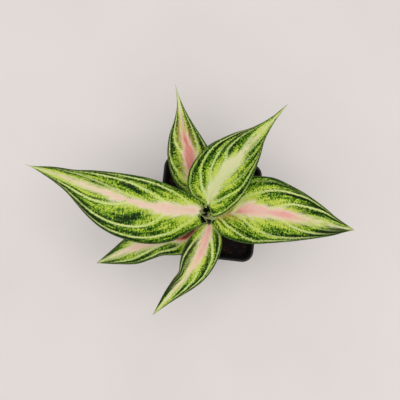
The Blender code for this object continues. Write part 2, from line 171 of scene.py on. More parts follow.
# Node kinds used often: the type, its settings, the inputs in the order they are given, the output taken
TIMES = ("ShaderNodeMath", {"operation": "MULTIPLY"}, (0, 1), 0)
PLUS = ("ShaderNodeMath", {"operation": "ADD"}, (0, 1), 0)
TIMES_PLUS = ("ShaderNodeMath", {"operation": "MULTIPLY_ADD"}, (0, 1, 2), 0)
BLEND = ("ShaderNodeMix", {"data_type": "RGBA"}, (0, 6, 7), 2)
RANGE = ("ShaderNodeMapRange", {}, range(5), 0)
EASED = ("ShaderNodeMapRange", {"interpolation_type": "SMOOTHSTEP"}, range(5), 0)
NOISE = ("ShaderNodeTexNoise", {}, ("Vector", "Scale", "Detail", "Roughness"), 0)
RAMP = ("ShaderNodeValToRGB", {}, (0,), 0)
JOIN = ("ShaderNodeCombineXYZ", {}, (0, 1, 2), 0)
SPLIT = ("ShaderNodeSeparateXYZ", {}, (0,), 0)
OBJECT_PLACE = ("ShaderNodeTexCoord", {}, (), "Object")
FIELD = ("ShaderNodeAttribute", {}, (), "Vector")
BUMP = ("ShaderNodeBump", {}, ("Height", "Strength", "Distance"), 0)

# Each leaf. First its shape, as in the part's source: see blade_surface and petiole_rings.
# Then its markings, in percent. starts are the fractions where the pale veins leave the rib, shared by both
# sides. Each side lists its veins from the margin inwards, as (paleness, fraction where it fades, then points
# of (fraction, share) after the start). band_left and band_right are how far the pale band along the rib
# reaches, and the next entry is how pink it is, with its top values a red-brown painted shade on shaded
# bases.
# patches are darker or lighter spots: (fraction, share, half length, half width, depth).
LEAVES = {
    "leaf_upper_right": {
        "rank": 0, "base": (-1.3, 3.8), "azimuth": 58.3, "length": 89, "rows": 150, "columns": 73,
        "side": 90, "stay": 0.74, "knee": (1.8, 7), "channel": 1.4, "clasp": 138,
        "heights": (150, 163, 173, 180, 184), "fold": 20, "droop": 0.75, "wave": (1.2, 1.6, 0.1),
        "rib": ((0, 0), (4, 2.2), (12, 3.8), (33, 3), (55, 1.9), (89, 0)),
        "left": ((0, 0), (-1.6, 4), (-2, 8.5), (-2.3, 13), (-0.7, 18), (3, 22), (7.5, 24.6), (12, 26.4),
                 (21, 27.4), (32, 26.2), (40, 23), (51, 16.9), (61, 9.8), (74, 3.7), (89, 0)),
        "right": ((0, 0), (-2, -3), (-4.6, -5.6), (-5.2, -8.6), (-1, -11.7), (5, -13.8), (15, -15.5),
                  (24, -15), (33, -13), (49, -7.6), (60, -3), (74, -0.5), (89, 0)),
        "starts": (0.5, 3, 10, 26, 45),
        "left_veins": (
            (45, 45, (3, 60), (8, 86), (15, 93), (30, 93.5), (45, 95), (100, 98.5)),
            (100, 85, (7, 30), (12, 43), (20, 56), (25, 64), (30, 73), (40, 82), (50, 87), (60, 90),
             (100, 96)),
            (90, 52, (17, 20), (22, 33), (28, 42), (33, 50), (40, 56), (46, 61), (60, 72), (100, 90)),
            (80, 85, (38, 22), (42, 34), (46, 43), (50, 51), (60, 60), (70, 68), (100, 85)),
            (60, 90, (60, 22), (70, 35), (80, 45), (100, 70)),
        ),
        "right_veins": (
            (60, 50, (3, 60), (8, 86), (15, 92), (30, 93), (45, 95), (100, 98.5)),
            (80, 70, (8, 36), (15, 48), (20, 54), (25, 60), (30, 68), (35, 74), (42, 77), (50, 79), (60, 84),
             (100, 95)),
            (35, 60, (20, 20), (30, 36), (40, 50), (50, 60), (60, 70), (100, 90)),
            (45, 80, (42, 18), (50, 30), (56, 40), (62, 52), (70, 64), (100, 84)),
            (40, 90, (62, 16), (70, 30), (80, 45), (100, 70)),
        ),
        "band_left": ((0, 30), (12, 34), (20, 27), (30, 25), (38, 30), (48, 18), (65, 16), (72, 20), (80, 24),
                      (90, 22), (100, 40)),
        "band_right": ((0, 30), (12, 28), (20, 16), (30, 13), (42, 16), (50, 7), (60, 2), (75, 8), (85, 15),
                       (92, 20), (100, 40)),
        "pink_and_shade": ((0, 3), (30, 3), (50, 12), (60, 25), (70, 20), (80, 5), (100, 0)),
        "patches": ((20, -75, 12, 20, -12), (65, -80, 10, 25, 35), (38, 45, 16, 25, -6),
                    (30, 80, 14, 20, -12), (60, 60, 8, 40, 12), (80, 60, 8, 40, 16)),
    },
    "leaf_left": {
        "rank": 1, "base": (-7, -1.7), "azimuth": 171.5, "length": 134, "rows": 220, "columns": 81,
        "side": 210, "stay": 0.5, "knee": (2.6, 6.4), "channel": 1.2, "clasp": 75,
        "heights": (143, 154, 157, 152, 140), "fold": 17, "droop": 0.85, "wave": (1.3, 1.9, 0.45),
        "rib": ((0, 0), (18, 2.2), (37, 3.6), (55, 3.2), (75, 1.8), (98, 0.8), (127, 0.2), (134, 0)),
        "left": ((0, 0), (-0.5, 3), (-2.2, 5.8), (-3.9, 8.4), (-2.2, 11.4), (4.4, 17.6), (15, 27), (32, 33),
                 (51, 33.4), (65, 30.4), (77, 24.8), (88, 17.6), (98, 11.2), (111, 5.8), (127, 0.9),
                 (134, 0)),
        "right": ((0, 0), (-1.6, -3), (-0.8, -6), (1.9, -7.9), (6, -9), (18, -11.5), (32, -13.3), (45, -13.6),
                  (63, -11.8), (82, -8.8), (95, -5.8), (111, -3.9), (127, -0.5), (134, 0)),
        "starts": (1, 13, 32, 50),
        "left_veins": (
            (100, 62, (5, 40), (10, 61), (17, 73), (25, 80), (35, 87), (45, 91), (60, 93.5), (100, 98)),
            (100, 80, (20, 20), (24, 35), (28, 48), (32, 57), (40, 67), (50, 73), (65, 78), (80, 84),
             (100, 92)),
            (100, 88, (40, 14), (46, 25), (52, 33), (60, 42), (70, 50), (78, 56), (90, 68), (100, 80)),
            (50, 95, (64, 15), (75, 26), (85, 38), (100, 60)),
        ),
        "right_veins": (
            (100, 55, (5, 36), (10, 52), (15, 67), (20, 78), (30, 85), (42, 87), (60, 91), (100, 98)),
            (100, 72, (20, 18), (23, 27), (27, 38), (32, 47), (40, 60), (50, 70), (60, 76), (75, 84),
             (100, 93)),
            (70, 85, (42, 8), (50, 17), (56, 25), (61, 34), (66, 45), (70, 58), (76, 69), (85, 78),
             (100, 86)),
            (50, 95, (64, 10), (76, 22), (85, 35), (100, 60)),
        ),
        "band_left": ((0, 60), (10, 38), (20, 28), (30, 20), (40, 17), (50, 18), (60, 17), (70, 20), (80, 22),
                      (90, 25), (100, 40)),
        "band_right": ((0, 80), (8, 46), (13, 28), (22, 17), (30, 4), (50, 2), (62, 0), (72, 8), (82, 15),
                       (90, 20), (100, 40)),
        "pink_and_shade": ((0, 42), (10, 46), (25, 46), (35, 51), (45, 50), (55, 49), (65, 48), (75, 46), (85, 22),
                 (100, 0)),
        "patches": ((40, 35, 10, 15, -6), (40, -50, 10, 14, -13), (45, -83, 18, 8, 16), (70, -75, 10, 20, 34),
                    (85, -65, 8, 30, 15), (40, 85, 20, 15, 20), (84, 55, 6, 30, 20), (57, 26, 11, 11, 65),
                    (45, -98, 30, 8, 30)),
    },
    "leaf_right": {
        "rank": 2, "base": (4, -5.8), "azimuth": 1.5, "length": 105, "rows": 170, "columns": 77,
        "side": -115, "stay": 0.7, "knee": (8.3, 5.5), "channel": 0.9, "clasp": 80,
        "heights": (136, 146, 149, 144, 133), "fold": 16, "droop": 0.85, "wave": (1.2, 1.8, 0.2),
        "rib": ((0, 0), (10, 3.9), (22, 7.4), (34, 7.7), (51, 6.3), (63, 4.7), (80, 2.6), (105, 0)),
        "left": ((0, 0), (-2, 5), (-0.5, 13), (5, 22), (14, 29.5), (25, 33), (36, 33.6), (44, 32.4),
                 (55, 28.2), (66, 23.2), (79, 15.6), (90, 8.2), (105, 0)),
        "right": ((0, 0), (0, -3.4), (1.9, -7), (4.8, -10.8), (9.5, -13.4), (16, -15.2), (23, -16.2),
                  (31, -16.2), (48, -13.6), (64, -10.8), (86, -6), (97, -2.4), (105, 0)),
        "starts": (1, 13, 33, 50),
        "left_veins": (
            (30, 50, (8, 50), (15, 74), (25, 84), (40, 88), (55, 92), (100, 98)),
            (100, 85, (20, 25), (25, 42), (33, 52), (40, 60), (50, 70), (60, 80), (70, 88), (100, 95)),
            (100, 90, (45, 20), (50, 30), (55, 40), (60, 45), (68, 53), (75, 64), (80, 71), (100, 88)),
            (40, 95, (65, 15), (75, 27), (85, 38), (100, 60)),
        ),
        "right_veins": (
            (80, 60, (8, 34), (12, 50), (16, 61), (20, 70), (25, 80), (30, 87), (42, 92), (100, 98)),
            (70, 75, (22, 25), (25, 36), (30, 50), (38, 65), (45, 77), (55, 85), (70, 91), (100, 96)),
            (90, 80, (50, 22), (54, 33), (58, 42), (62, 50), (68, 60), (75, 70), (80, 77), (100, 90)),
            (35, 90, (68, 20), (75, 35), (85, 50), (100, 70)),
        ),
        "band_left": ((0, -8), (13, -2), (19, 20), (28, 30), (36, 20), (42, 16), (50, 20), (60, 15), (70, 12),
                      (80, 12), (90, 15), (100, 40)),
        "band_right": ((0, 0), (13, 3), (19, 16), (30, 20), (40, 15), (50, 17), (57, 18), (65, 10), (80, 8),
                       (90, 15), (100, 40)),
        "pink_and_shade": ((0, 100), (12, 100), (16, 92), (21, 70), (30, 57), (40, 62), (50, 68), (60, 65), (70, 52),
                 (80, 26), (100, 0)),
        "patches": ((70, -40, 10, 14, 45), (45, -45, 10, 20, -10), (13, 0, 5, 25, 70), (85, 50, 10, 35, 110),
                    (85, -70, 9, 30, 30), (14, 65, 6, 20, -15)),
    },
    "leaf_bottom": {
        "rank": 3, "base": (0.9, -11.2), "azimuth": -115.3, "length": 81.2, "rows": 140, "columns": 65,
        "side": -78, "stay": 0.42, "knee": (2.3, 6.6), "channel": 1.3, "clasp": 62,
        "heights": (128, 136, 137.5, 131, 119), "fold": 18, "droop": 0.8, "wave": (1.6, 1.7, 0.6),
        "rib": ((0, 0), (3, 2), (14, 5.2), (26, 7.8), (39, 6.8), (54, 4.2), (70, 1.7), (81.2, 0)),
        "left": ((0, 0), (-2.6, 2.8), (-1.9, 6.7), (0.7, 11), (8, 16.2), (16.5, 18.9), (26.4, 19.6),
                 (36, 18.5), (46, 15), (60, 8.3), (70.5, 3.9), (81.2, 0)),
        "right": ((0, 0), (1.8, -3.4), (7.2, -5.4), (16, -7.2), (26, -6.8), (34.6, -4), (41.4, -1),
                  (48.6, -1.6), (60, -1.8), (72, -0.9), (81.2, 0)),
        "starts": (1, 8, 30, 50),
        "left_veins": (
            (60, 50, (4, 40), (8, 70), (15, 88), (30, 87), (42, 89), (100, 97.5)),
            (100, 65, (15, 30), (20, 45), (25, 52), (30, 62), (38, 72), (45, 78), (52, 82), (100, 93)),
            (100, 88, (42, 22), (46, 32), (52, 44), (60, 52), (70, 63), (78, 70), (100, 85)),
            (50, 95, (70, 25), (85, 42), (100, 60)),
        ),
        "right_veins": (
            (90, 55, (5, 40), (10, 52), (15, 60), (25, 72), (35, 80), (45, 86), (100, 97)),
            (35, 62, (20, 36), (30, 47), (40, 56), (50, 64), (60, 75), (70, 84), (100, 94)),
            (30, 70, (42, 25), (50, 38), (60, 50), (70, 62), (100, 85)),
            (20, 80, (70, 28), (85, 45), (100, 70)),
        ),
        "band_left": ((0, 70), (5, 50), (10, 36), (20, 24), (28, 16), (35, 6), (50, 2), (60, 6), (75, 12),
                      (88, 20), (100, 30)),
        "band_right": ((0, 80), (5, 60), (10, 50), (16, 47), (25, 36), (40, 31), (55, 28), (70, 30), (82, 32),
                       (90, 30), (100, 40)),
        "pink_and_shade": ((0, 70), (3, 64), (7, 60), (20, 63), (30, 64), (42, 62), (50, 52), (62, 44), (70, 30),
                 (80, 14), (100, 0)),
        "patches": ((35, 68, 16, 25, 90), (58, 72, 12, 30, 60), (80, 80, 14, 35, 110), (30, -80, 15, 20, 10),
                    (38, -35, 10, 20, 22), (78, -75, 10, 30, 25)),
    },
    "leaf_top": {
        "rank": 4, "base": (-8.7, 7), "azimuth": 108, "length": 88, "rows": 140, "columns": 65,
        "side": 130, "stay": 0.55, "knee": (1.6, 6.8), "channel": 1.3, "clasp": 62,
        "heights": (122, 133, 138.5, 137, 130), "fold": 17, "droop": 0.8, "wave": (1.1, 1.6, 0.3),
        "rib": ((0, 0), (8.5, 0.6), (32, 0.3), (60, 0.4), (80, 0.1), (88, 0)),
        "left": ((0, 0), (2.5, 3.6), (7.7, 9.5), (14, 14.5), (23.4, 16.8), (32.5, 16.8), (41, 15.4),
                 (51, 11.8), (60, 6.6), (70, 2.3), (80, 0.7), (88, 0)),
        "right": ((0, 0), (0.5, -4.6), (6, -11), (14, -15.2), (24, -16.6), (32, -15.6), (38, -13.7),
                  (45, -11.1), (56, -6.8), (68, -3), (80, -0.6), (88, 0)),
        "starts": (1, 10, 28, 45),
        "left_veins": (
            (30, 50, (8, 50), (15, 74), (25, 88), (40, 95), (100, 98.5)),
            (100, 60, (18, 40), (22, 55), (28, 67), (35, 80), (42, 88), (50, 92), (100, 96)),
            (100, 82, (40, 22), (44, 36), (48, 48), (52, 58), (60, 68), (70, 73), (100, 90)),
            (40, 95, (60, 20), (70, 32), (85, 45), (100, 60)),
        ),
        "right_veins": (
            (50, 50, (8, 50), (15, 74), (25, 88), (40, 95), (100, 98.5)),
            (90, 60, (18, 38), (25, 55), (33, 70), (42, 82), (50, 89), (100, 96)),
            (80, 82, (38, 30), (42, 43), (46, 51), (52, 58), (60, 65), (70, 72), (100, 90)),
            (40, 95, (60, 20), (70, 32), (85, 45), (100, 60)),
        ),
        "band_left": ((0, 30), (20, 35), (30, 30), (40, 32), (47, 20), (55, 24), (62, 20), (70, 10), (78, 32),
                      (88, 48), (100, 50)),
        "band_right": ((0, 30), (30, 30), (42, 32), (48, 17), (55, 13), (62, 8), (70, 2), (78, 32), (88, 48),
                       (100, 50)),
        "pink_and_shade": ((0, 55), (25, 74), (33, 79), (42, 80), (47, 86), (50, 90), (57, 92), (62, 88), (68, 80),
                 (76, 55), (82, 10), (100, 0)),
        "patches": ((42, -70, 10, 15, -6), (60, -80, 10, 20, 15), (58, 35, 10, 15, -10), (60, 80, 12, 20, 10),
                    (57, 33, 8, 12, 40)),
    },
    "leaf_lower_left": {
        "rank": 5, "base": (-6.6, -12), "azimuth": -152.6, "length": 84.5, "rows": 140, "columns": 65,
        "side": -108, "stay": 0.22, "knee": (1.3, 6.8), "channel": 1.3, "clasp": 62,
        "heights": (112, 120, 122.5, 118, 107), "fold": 16, "droop": 0.8, "wave": (1.4, 1.8, 0),
        "rib": ((0, 0), (5.6, 1.9), (15, 4.6), (33, 2.9), (50, -0.4), (68, -0.8), (84.5, 0)),
        "left": ((0, 0), (-1.6, 4.4), (2, 10), (9, 14.8), (18, 16.8), (25, 15.4), (34, 12.2), (44, 11.8),
                 (55, 11.2), (68, 6.6), (84.5, 0)),
        "right": ((0, 0), (0, -4.2), (5, -9.4), (12, -13.2), (21, -15), (32, -14.8), (44, -13), (57, -9.8),
                  (66, -6.6), (75, -3.4), (84.5, 0)),
        "starts": (1, 12, 30, 50),
        "left_veins": (
            (30, 50, (8, 50), (15, 78), (30, 90), (100, 97.5)),
            (100, 65, (20, 25), (25, 40), (30, 50), (35, 57), (40, 63), (47, 72), (53, 81), (65, 87),
             (100, 95)),
            (100, 88, (42, 17), (48, 30), (52, 42), (60, 52), (70, 62), (75, 68), (85, 75), (100, 88)),
            (40, 95, (65, 15), (75, 25), (90, 45), (100, 60)),
        ),
        "right_veins": (
            (60, 50, (8, 50), (15, 74), (30, 88), (100, 97.5)),
            (80, 55, (22, 25), (30, 48), (40, 62), (50, 72), (70, 85), (100, 95)),
            (60, 72, (45, 20), (55, 32), (62, 46), (67, 62), (72, 75), (100, 90)),
            (40, 95, (65, 15), (75, 25), (90, 45), (100, 60)),
        ),
        "band_left": ((0, 35), (10, 42), (20, 36), (30, 14), (40, 18), (50, 23), (60, 24), (70, 24), (80, 22),
                      (90, 20), (100, 40)),
        "band_right": ((0, 20), (20, 15), (30, 10), (45, 18), (60, 32), (70, 34), (78, 28), (90, 20),
                       (100, 40)),
        "pink_and_shade": ((0, 100), (20, 100), (27, 57), (40, 38), (50, 47), (58, 50), (70, 42), (78, 36), (87, 15),
                 (100, 0)),
        "patches": ((42, -75, 10, 20, 10), (68, -80, 10, 20, 12), (34, -25, 8, 20, 110), (80, 55, 10, 30, 42),
                    (62, -45, 16, 16, 25)),
    },
}


# Plain helpers

def linear_colour(code):
    """The linear RGBA of an sRGB hex colour."""
    channels = []
    for start in (0, 2, 4):
        value = int(code[start:start + 2], 16) / 255.0
        channels.append(value / 12.92 if value <= 0.04045 else ((value + 0.055) / 1.055) ** 2.4)
    return (*channels, 1.0)


def cells(size_mm):
    """Scale of a pattern whose cells have this size, for coordinates in metres."""
    return 1.0 / (size_mm * MM)


def unit(vector):
    return vector / np.linalg.norm(vector)


def heading(degrees):
    angle = math.radians(degrees)
    return np.array([math.cos(angle), math.sin(angle), 0.0])


def ease(low, high, value):
    share = np.clip((value - low) / (high - low), 0.0, 1.0)
    return share * share * (3.0 - 2.0 * share)


def rise(change, value):
    """A change given as (amount, from, to), which eases in between the two."""
    amount, low, high = change
    return amount * ease(low, high, value)


def bezier(first, second, third, fourth, step):
    """A point, or a row of points, at a step from 0 to 1 along cubic Bezier curves."""
    rest = 1.0 - step
    return (rest ** 3 * first + 3 * rest * rest * step * second
            + 3 * rest * step * step * third + step ** 3 * fourth)


def smooth_curve(points, fractions, spans=16):
    """Points at fractions of the length of a smooth curve through the given points."""
    known = np.array(points, float)
    ends = np.vstack([2 * known[0] - known[1], known, 2 * known[-1] - known[-2]])
    steps = np.linspace(0.0, 1.0, spans, endpoint=False)[:, None]
    dense = []
    for index in range(1, len(ends) - 2):
        before, start, end, after = ends[index - 1:index + 3]
        bend = (2 * before - 5 * start + 4 * end - after) * steps ** 2
        turn = (3 * start - before - 3 * end + after) * steps ** 3
        dense.append(0.5 * (2 * start + (end - before) * steps + bend + turn))
    dense.append(known[-1:])
    path = np.vstack(dense)
    reach = np.concatenate([[0.0], np.cumsum(np.linalg.norm(np.diff(path, axis=0), axis=1))])
    wanted = np.array(fractions) * reach[-1]
    return np.column_stack([np.interp(wanted, reach, path[:, axis]) for axis in (0, 1)])


def along_leaf(knots, fractions, samples=240):
    """A smooth value along the leaf, through knots of (fraction, value) in percent."""
    path = smooth_curve(np.array(knots) / 100.0, np.linspace(0.0, 1.0, samples))
    return np.interp(fractions, path[:, 0], path[:, 1])


def add_mesh(name, points, faces, material, smooth_angle=180.0):
    """A mesh object from millimetre points."""
    mesh = bpy.data.meshes.new(name)
    mesh.from_pydata((np.asarray(points, float) * MM).tolist(), [], faces)
    mesh.shade_smooth()
    if smooth_angle < 180.0:
        mesh.set_sharp_from_angle(angle=math.radians(smooth_angle))
    mesh.materials.append(material)
    thing = bpy.data.objects.new(name, mesh)
    bpy.context.collection.objects.link(thing)
    return thing


def hand_over(thing, slot_name, *nodes):
    """Rides on the one body, and stands for its CAD nodes."""
    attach(thing, "root")
    if nodes:
        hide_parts(*nodes)


def add_node(tree, kind, *values, stops=None, **settings):
    """Adds one node with its settings and links, and gives its output. The kind is a type's name or one of
    the node kinds above. The values come in the kind's order, or in one dictionary by input. The stops are
    a ramp's places with their sRGB hex colours."""
    if isinstance(kind, str):
        kind = (kind, {}, range(len(values)), 0)
    type_name, fixed, places, taken = kind
    made = tree.nodes.new(type_name)
    for name, value in {**fixed, **settings}.items():
        setattr(made, name, value)
    by_input = values and isinstance(values[0], dict)
    feed(tree, made, values[0] if by_input else dict(zip(places, values)))
    if stops:
        elements = made.color_ramp.elements
        elements[0].position, elements[-1].position = min(stops), max(stops)
        for place in sorted(stops)[1:-1]:
            elements.new(place)
        for element, place in zip(elements, sorted(stops)):
            element.color = linear_colour(stops[place])
    return made.outputs[taken]


def feed(tree, node, inputs):
    """Gives each input a socket to link, a colour as sRGB hex or a plain value."""
    for place, source in inputs.items():
        socket = node.inputs[place]
        if isinstance(source, bpy.types.NodeSocket):
            tree.links.new(source, socket)
        elif socket.type == "RGBA":
            socket.default_value = linear_colour(source)
        else:
            socket.default_value = source


def new_material(name):
    """A material, with what adds a node to it and what feeds its Principled shader."""
    material = bpy.data.materials.new(name)
    material.use_nodes = True
    tree = material.node_tree
    shader = tree.nodes["Principled BSDF"]
    return material, functools.partial(add_node, tree), functools.partial(feed, tree, shader)


# Materials

def leaf_material():
    """Living leaf with a waxy cuticle: a dull gloss, green flecks drawn out along the veins, and a blushed
    band along the rib. The mesh carries where each marking lies, and the nodes break it up."""
    material, add, finish = new_material("aglaonema_leaf_waxy_cuticle")
    vein, pitch, paleness = add(SPLIT, add(FIELD, attribute_name="veins")).node.outputs
    beyond, pink_and_shade, dark = add(SPLIT, add(FIELD, attribute_name="zones")).node.outputs
    level, along, edge = add(SPLIT, add(FIELD, attribute_name="place")).node.outputs
    upper, stalk, seed = add(SPLIT, add(FIELD, attribute_name="tissue")).node.outputs

    # Speckle of about 1 mm: finer cells of the real leaf wouldn't show.
    coordinates = add(OBJECT_PLACE)
    speckle = add(NOISE, coordinates, cells(SPECKLE_SIZE), 2.0, 0.7)
    speckle_part = add(PLUS, speckle, -0.5)
    # Flecks run slanted across the strips between the veins, streaks and patches along them.
    slanted = add(TIMES_PLUS, level, FLECK_SLANT, along)
    grains = []
    ways = ((slanted, level), (level, along), (level, along))
    for (narrow_way, long_way), (wide, long, detail) in zip(ways, (FLECK, STREAK, PATCH)):
        across = add(TIMES_PLUS, narrow_way, 1.0 / wide, seed)
        run = add(TIMES, long_way, 1.0 / long)
        grains.append(add(PLUS, add(NOISE, add(JOIN, across, run, seed), 1.0, detail, 0.6), -0.5))
    fleck, streak, patch = grains

    # How far a point lies outside the band, in mm, with its edge feathered along the veins.
    outside = add(TIMES_PLUS, fleck, -4.0, add(TIMES_PLUS, streak, -10.0, beyond))
    band = add(EASED, outside, -2.8, 2.6, 1.0, 0.0)
    halo = add(EASED, outside, 0.0, 7.0, 1.0, 0.0)

    # Green tissue, from yellow-green beside the band to deep green at the margin.
    depth = dark
    for grain, weight in ((fleck, 2.0), (speckle_part, 2.5), (streak, 1.7), (patch, 2.2), (halo, -0.12)):
        depth = add(TIMES_PLUS, grain, weight, depth)
    green = add(RAMP, depth, stops={
        0.0: "BDCC54", 0.2: "9DB62E", 0.4: "6D981A", 0.6: "3F6C0A", 0.8: "204602", 1.0: "0E2300"})
    # Bronze tissue beside the deepest pink.
    bronze = add(TIMES, add(RANGE, pink_and_shade, 0.55, 1.0, 0.0, 0.6), halo)
    green = add(BLEND, bronze, green, "B98A4C")

    # Pale veins, about 1.2 mm wide, ragged and broken along their length.
    from_vein = add(TIMES, add("ShaderNodeMath", vein, 0.5, operation="PINGPONG"), pitch)
    from_vein = add(TIMES_PLUS, speckle_part, 2.7, from_vein)
    line = add(EASED, from_vein, 0.3, 1.35, 1.0, 0.0)
    broken = add(EASED, add(TIMES_PLUS, streak, 0.6, patch), -0.25, 0.05, 0.45, 1.0)
    pale = add(TIMES, add(TIMES, line, broken), paleness)
    vein_colour = add(BLEND, add(TIMES, pink_and_shade, 0.3), "C3D97F", "E3D4A0")
    colour = add(BLEND, pale, green, vein_colour)

    # The band: pink in the middle, cream where it meets the green, and red-brown painted shade on shaded
    # bases.
    inside = add(EASED, add(TIMES_PLUS, streak, -2.5, beyond), -3.4, 1.4, 1.0, 0.3)
    blush_and_shade = add(TIMES_PLUS, streak, 0.25, add(TIMES, pink_and_shade, inside))
    band_colour = add(RAMP, blush_and_shade, stops={
        0.0: "D0D69E", 0.2: "DCD6AE", 0.4: "E6CFB9", 0.6: "E6B9AC", 0.8: "DB8E85", 0.9: "CD766C",
        1.0: "7A4A38"})
    colour = add(BLEND, band, colour, band_colour)

    # Margin: a dark rim with a thin horny edge.
    colour = add(BLEND, add(EASED, edge, 0.1, 1.6, 0.5, 0.0), colour, "3C5A26")
    colour = add(BLEND, add(EASED, edge, 0.05, 0.25, 0.15, 0.0), colour, "A9B77C")
    # Underside: duller and paler, with the markings faint.
    colour = add(BLEND, upper, add(BLEND, 0.62, colour, "9CAF7C"), colour)
    # The drip tip, where the stalk value is below nought, has dried brown.
    colour = add(BLEND, add(RANGE, stalk, -0.9, 0.0, 0.75, 0.0), colour, "93805E")

    # Petiole and sheath: pale green with lighter lengthwise streaks.
    stalk_tone = add(TIMES_PLUS, speckle_part, 0.5, add(TIMES_PLUS, streak, 1.0, 0.5))
    stalk_colour = add(RAMP, stalk_tone, stops={0.3: "7E9550", 0.5: "A9B877", 0.72: "D3D4A6"})
    # Painted shade: the channels' inner faces darken downwards, where the throat between the petioles lies in
    # shade.
    height = add(SPLIT, coordinates).node.outputs[2]
    low, high = THROAT_PAINTED_SHADE
    painted_throat_shade = add(TIMES, add(EASED, height, low * MM, high * MM, 0.92, 0.0), upper)
    colour = add(BLEND, stalk, colour, add(BLEND, painted_throat_shade, stalk_colour, "12130C"))

    # Fine cross veins, too shallow to model.
    net = add("ShaderNodeTexVoronoi", {
        "Vector": add(JOIN, level, along, seed), "Scale": NET_CELLS_PER_MM}, feature="DISTANCE_TO_EDGE")
    relief = add(PLUS, add(EASED, net, 0.0, 0.12, 0.0, 1.0), speckle)
    finish({
        "Base Color": colour,
        "Roughness": add(RANGE, speckle, 0.25, 0.75, 0.38, 0.52),
        "IOR": 1.45,
        "Specular IOR Level": 0.09,
        "Subsurface Weight": 0.08,
        "Subsurface Radius": (0.8, 1.2, 0.4),
        "Subsurface Scale": 0.0005,
        "Normal": add(BUMP, relief, 0.16, 0.0002),
    })
    return material


def pot_material():
    """Black polypropylene, thin and injection moulded: satin, with a fine grain, a purple-brown cast
    and a thin film of dried soil."""
    material, add, finish = new_material("black_polypropylene_moulded")
    coordinates = add(OBJECT_PLACE)
    grain = add(NOISE, coordinates, cells(0.7), 2.0)
    cloud = add(NOISE, coordinates, cells(12.0), 4.0, 0.65)
    body = add(RAMP, cloud, stops={0.3: "090607", 0.55: "0D080A", 0.8: "140D10"})
    film = add(RANGE, add(NOISE, coordinates, cells(26.0), 6.0, 0.7), 0.48, 0.8, 0.0, 0.22)
    finish({
        "Base Color": add(BLEND, film, body, "5C4F47"),
        "Roughness": add(RANGE, cloud, 0.2, 0.8, 0.38, 0.58),
        "IOR": 1.49,
        "Specular IOR Level": 0.28,
        "Normal": add(BUMP, grain, 0.25, 0.0001),
    })
    return material


def crumbly_material(name, tones, grain_mm, roughness=0.95):
    """Matte broken stuff: dark, middling and light grains of a given size."""
    material, add, finish = new_material(name)
    coordinates = add(OBJECT_PLACE)
    fine = add(NOISE, coordinates, cells(grain_mm), 4.0, 0.7)
    coarse = add(NOISE, coordinates, cells(5.0 * grain_mm), 2.0)
    tone = add(RAMP, add(TIMES, add(PLUS, fine, coarse), 0.5), stops=dict(zip(CRUMB_TONES_AT, tones)))
    finish({
        "Base Color": tone,
        "Roughness": roughness,
        "Specular IOR Level": 0.25,
        "Normal": add(BUMP, fine, 0.8, 0.0005),
    })
    return material


def cane_material():
    """Green cane with a corky skin: matte olive rings, browner in places."""
    material, add, finish = new_material("green_cane_corky_skin")
    ring_cells = (cells(8.0), cells(8.0), cells(1.1))
    flattened = add("ShaderNodeMapping", {"Vector": add(OBJECT_PLACE), "Scale": ring_cells})
    rings = add(NOISE, flattened, 1.0, 4.0)
    finish({
        "Base Color": add(RAMP, rings, stops={0.3: "5B5330", 0.5: "78843F", 0.7: "97A35C"}),
        "Roughness": 0.62,
        "Normal": add(BUMP, rings, 0.4, 0.0003),
    })
    return material


def floor_material():
    """Plain pale studio floor: matte, with a trace of tone so that it isn't dead flat."""
    material, add, finish = new_material("pale_matte_floor")
    cloud = add(NOISE, add(OBJECT_PLACE), cells(140.0), 3.0)
    tone = add(RAMP, cloud, stops={0.3: "D9D4D4", 0.7: "DFDAD9"})
    finish({"Base Color": tone, "Roughness": 0.7, "Specular IOR Level": 0.2})
    return material


# Leaves

def blade_surface(leaf, fractions, shares):
    """Upper points of the blade as rows by columns, and the half width of each side there."""
    reach = np.abs(shares)[None, :]
    lines = (smooth_curve(leaf[name], fractions) for name in ("rib", "left", "right"))
    ribs, lefts, rights = (line[:, None, :] for line in lines)
    edges = np.where((shares < 0)[None, :, None], lefts, rights)
    flat = ribs + reach[..., None] * (edges - ribs)
    half = np.linalg.norm(edges - ribs, axis=2)
    run = np.asarray(fractions)[:, None]
    fold = math.tan(math.radians(leaf["fold"])) * (1.0 - FOLD_FADE * run)
    amplitude, waves, phase = leaf["wave"]
    lag = np.where(shares < 0, 0.5, 0.5 * RIPPLE_LAG)[None, :]
    ripple = np.sin(2 * np.pi * (waves * run + phase + lag))
    frill = FRILL * reach ** 4 * np.sin(2 * np.pi * (FRILL_PER_WAVE * waves * run + 3 * phase + lag))
    heights = rib_height(leaf, flat[..., 0]) + fold * half * reach * (1.0 - leaf["droop"] * reach)
    heights += (amplitude * reach ** 2 * ripple + frill) * np.sin(np.pi * run)
    forward, leftward = heading(leaf["azimuth"]), heading(leaf["azimuth"] + 90.0)
    points = np.array([*leaf["base"], 0.0]) + flat[..., :1] * forward + flat[..., 1:] * leftward
    points[..., 2] = heights
    return points, half


def rib_height(leaf, along):
    stations = np.linspace(0.0, leaf["length"], len(leaf["heights"]))
    return np.polyval(np.polyfit(stations, leaf["heights"], len(stations) - 1), along)


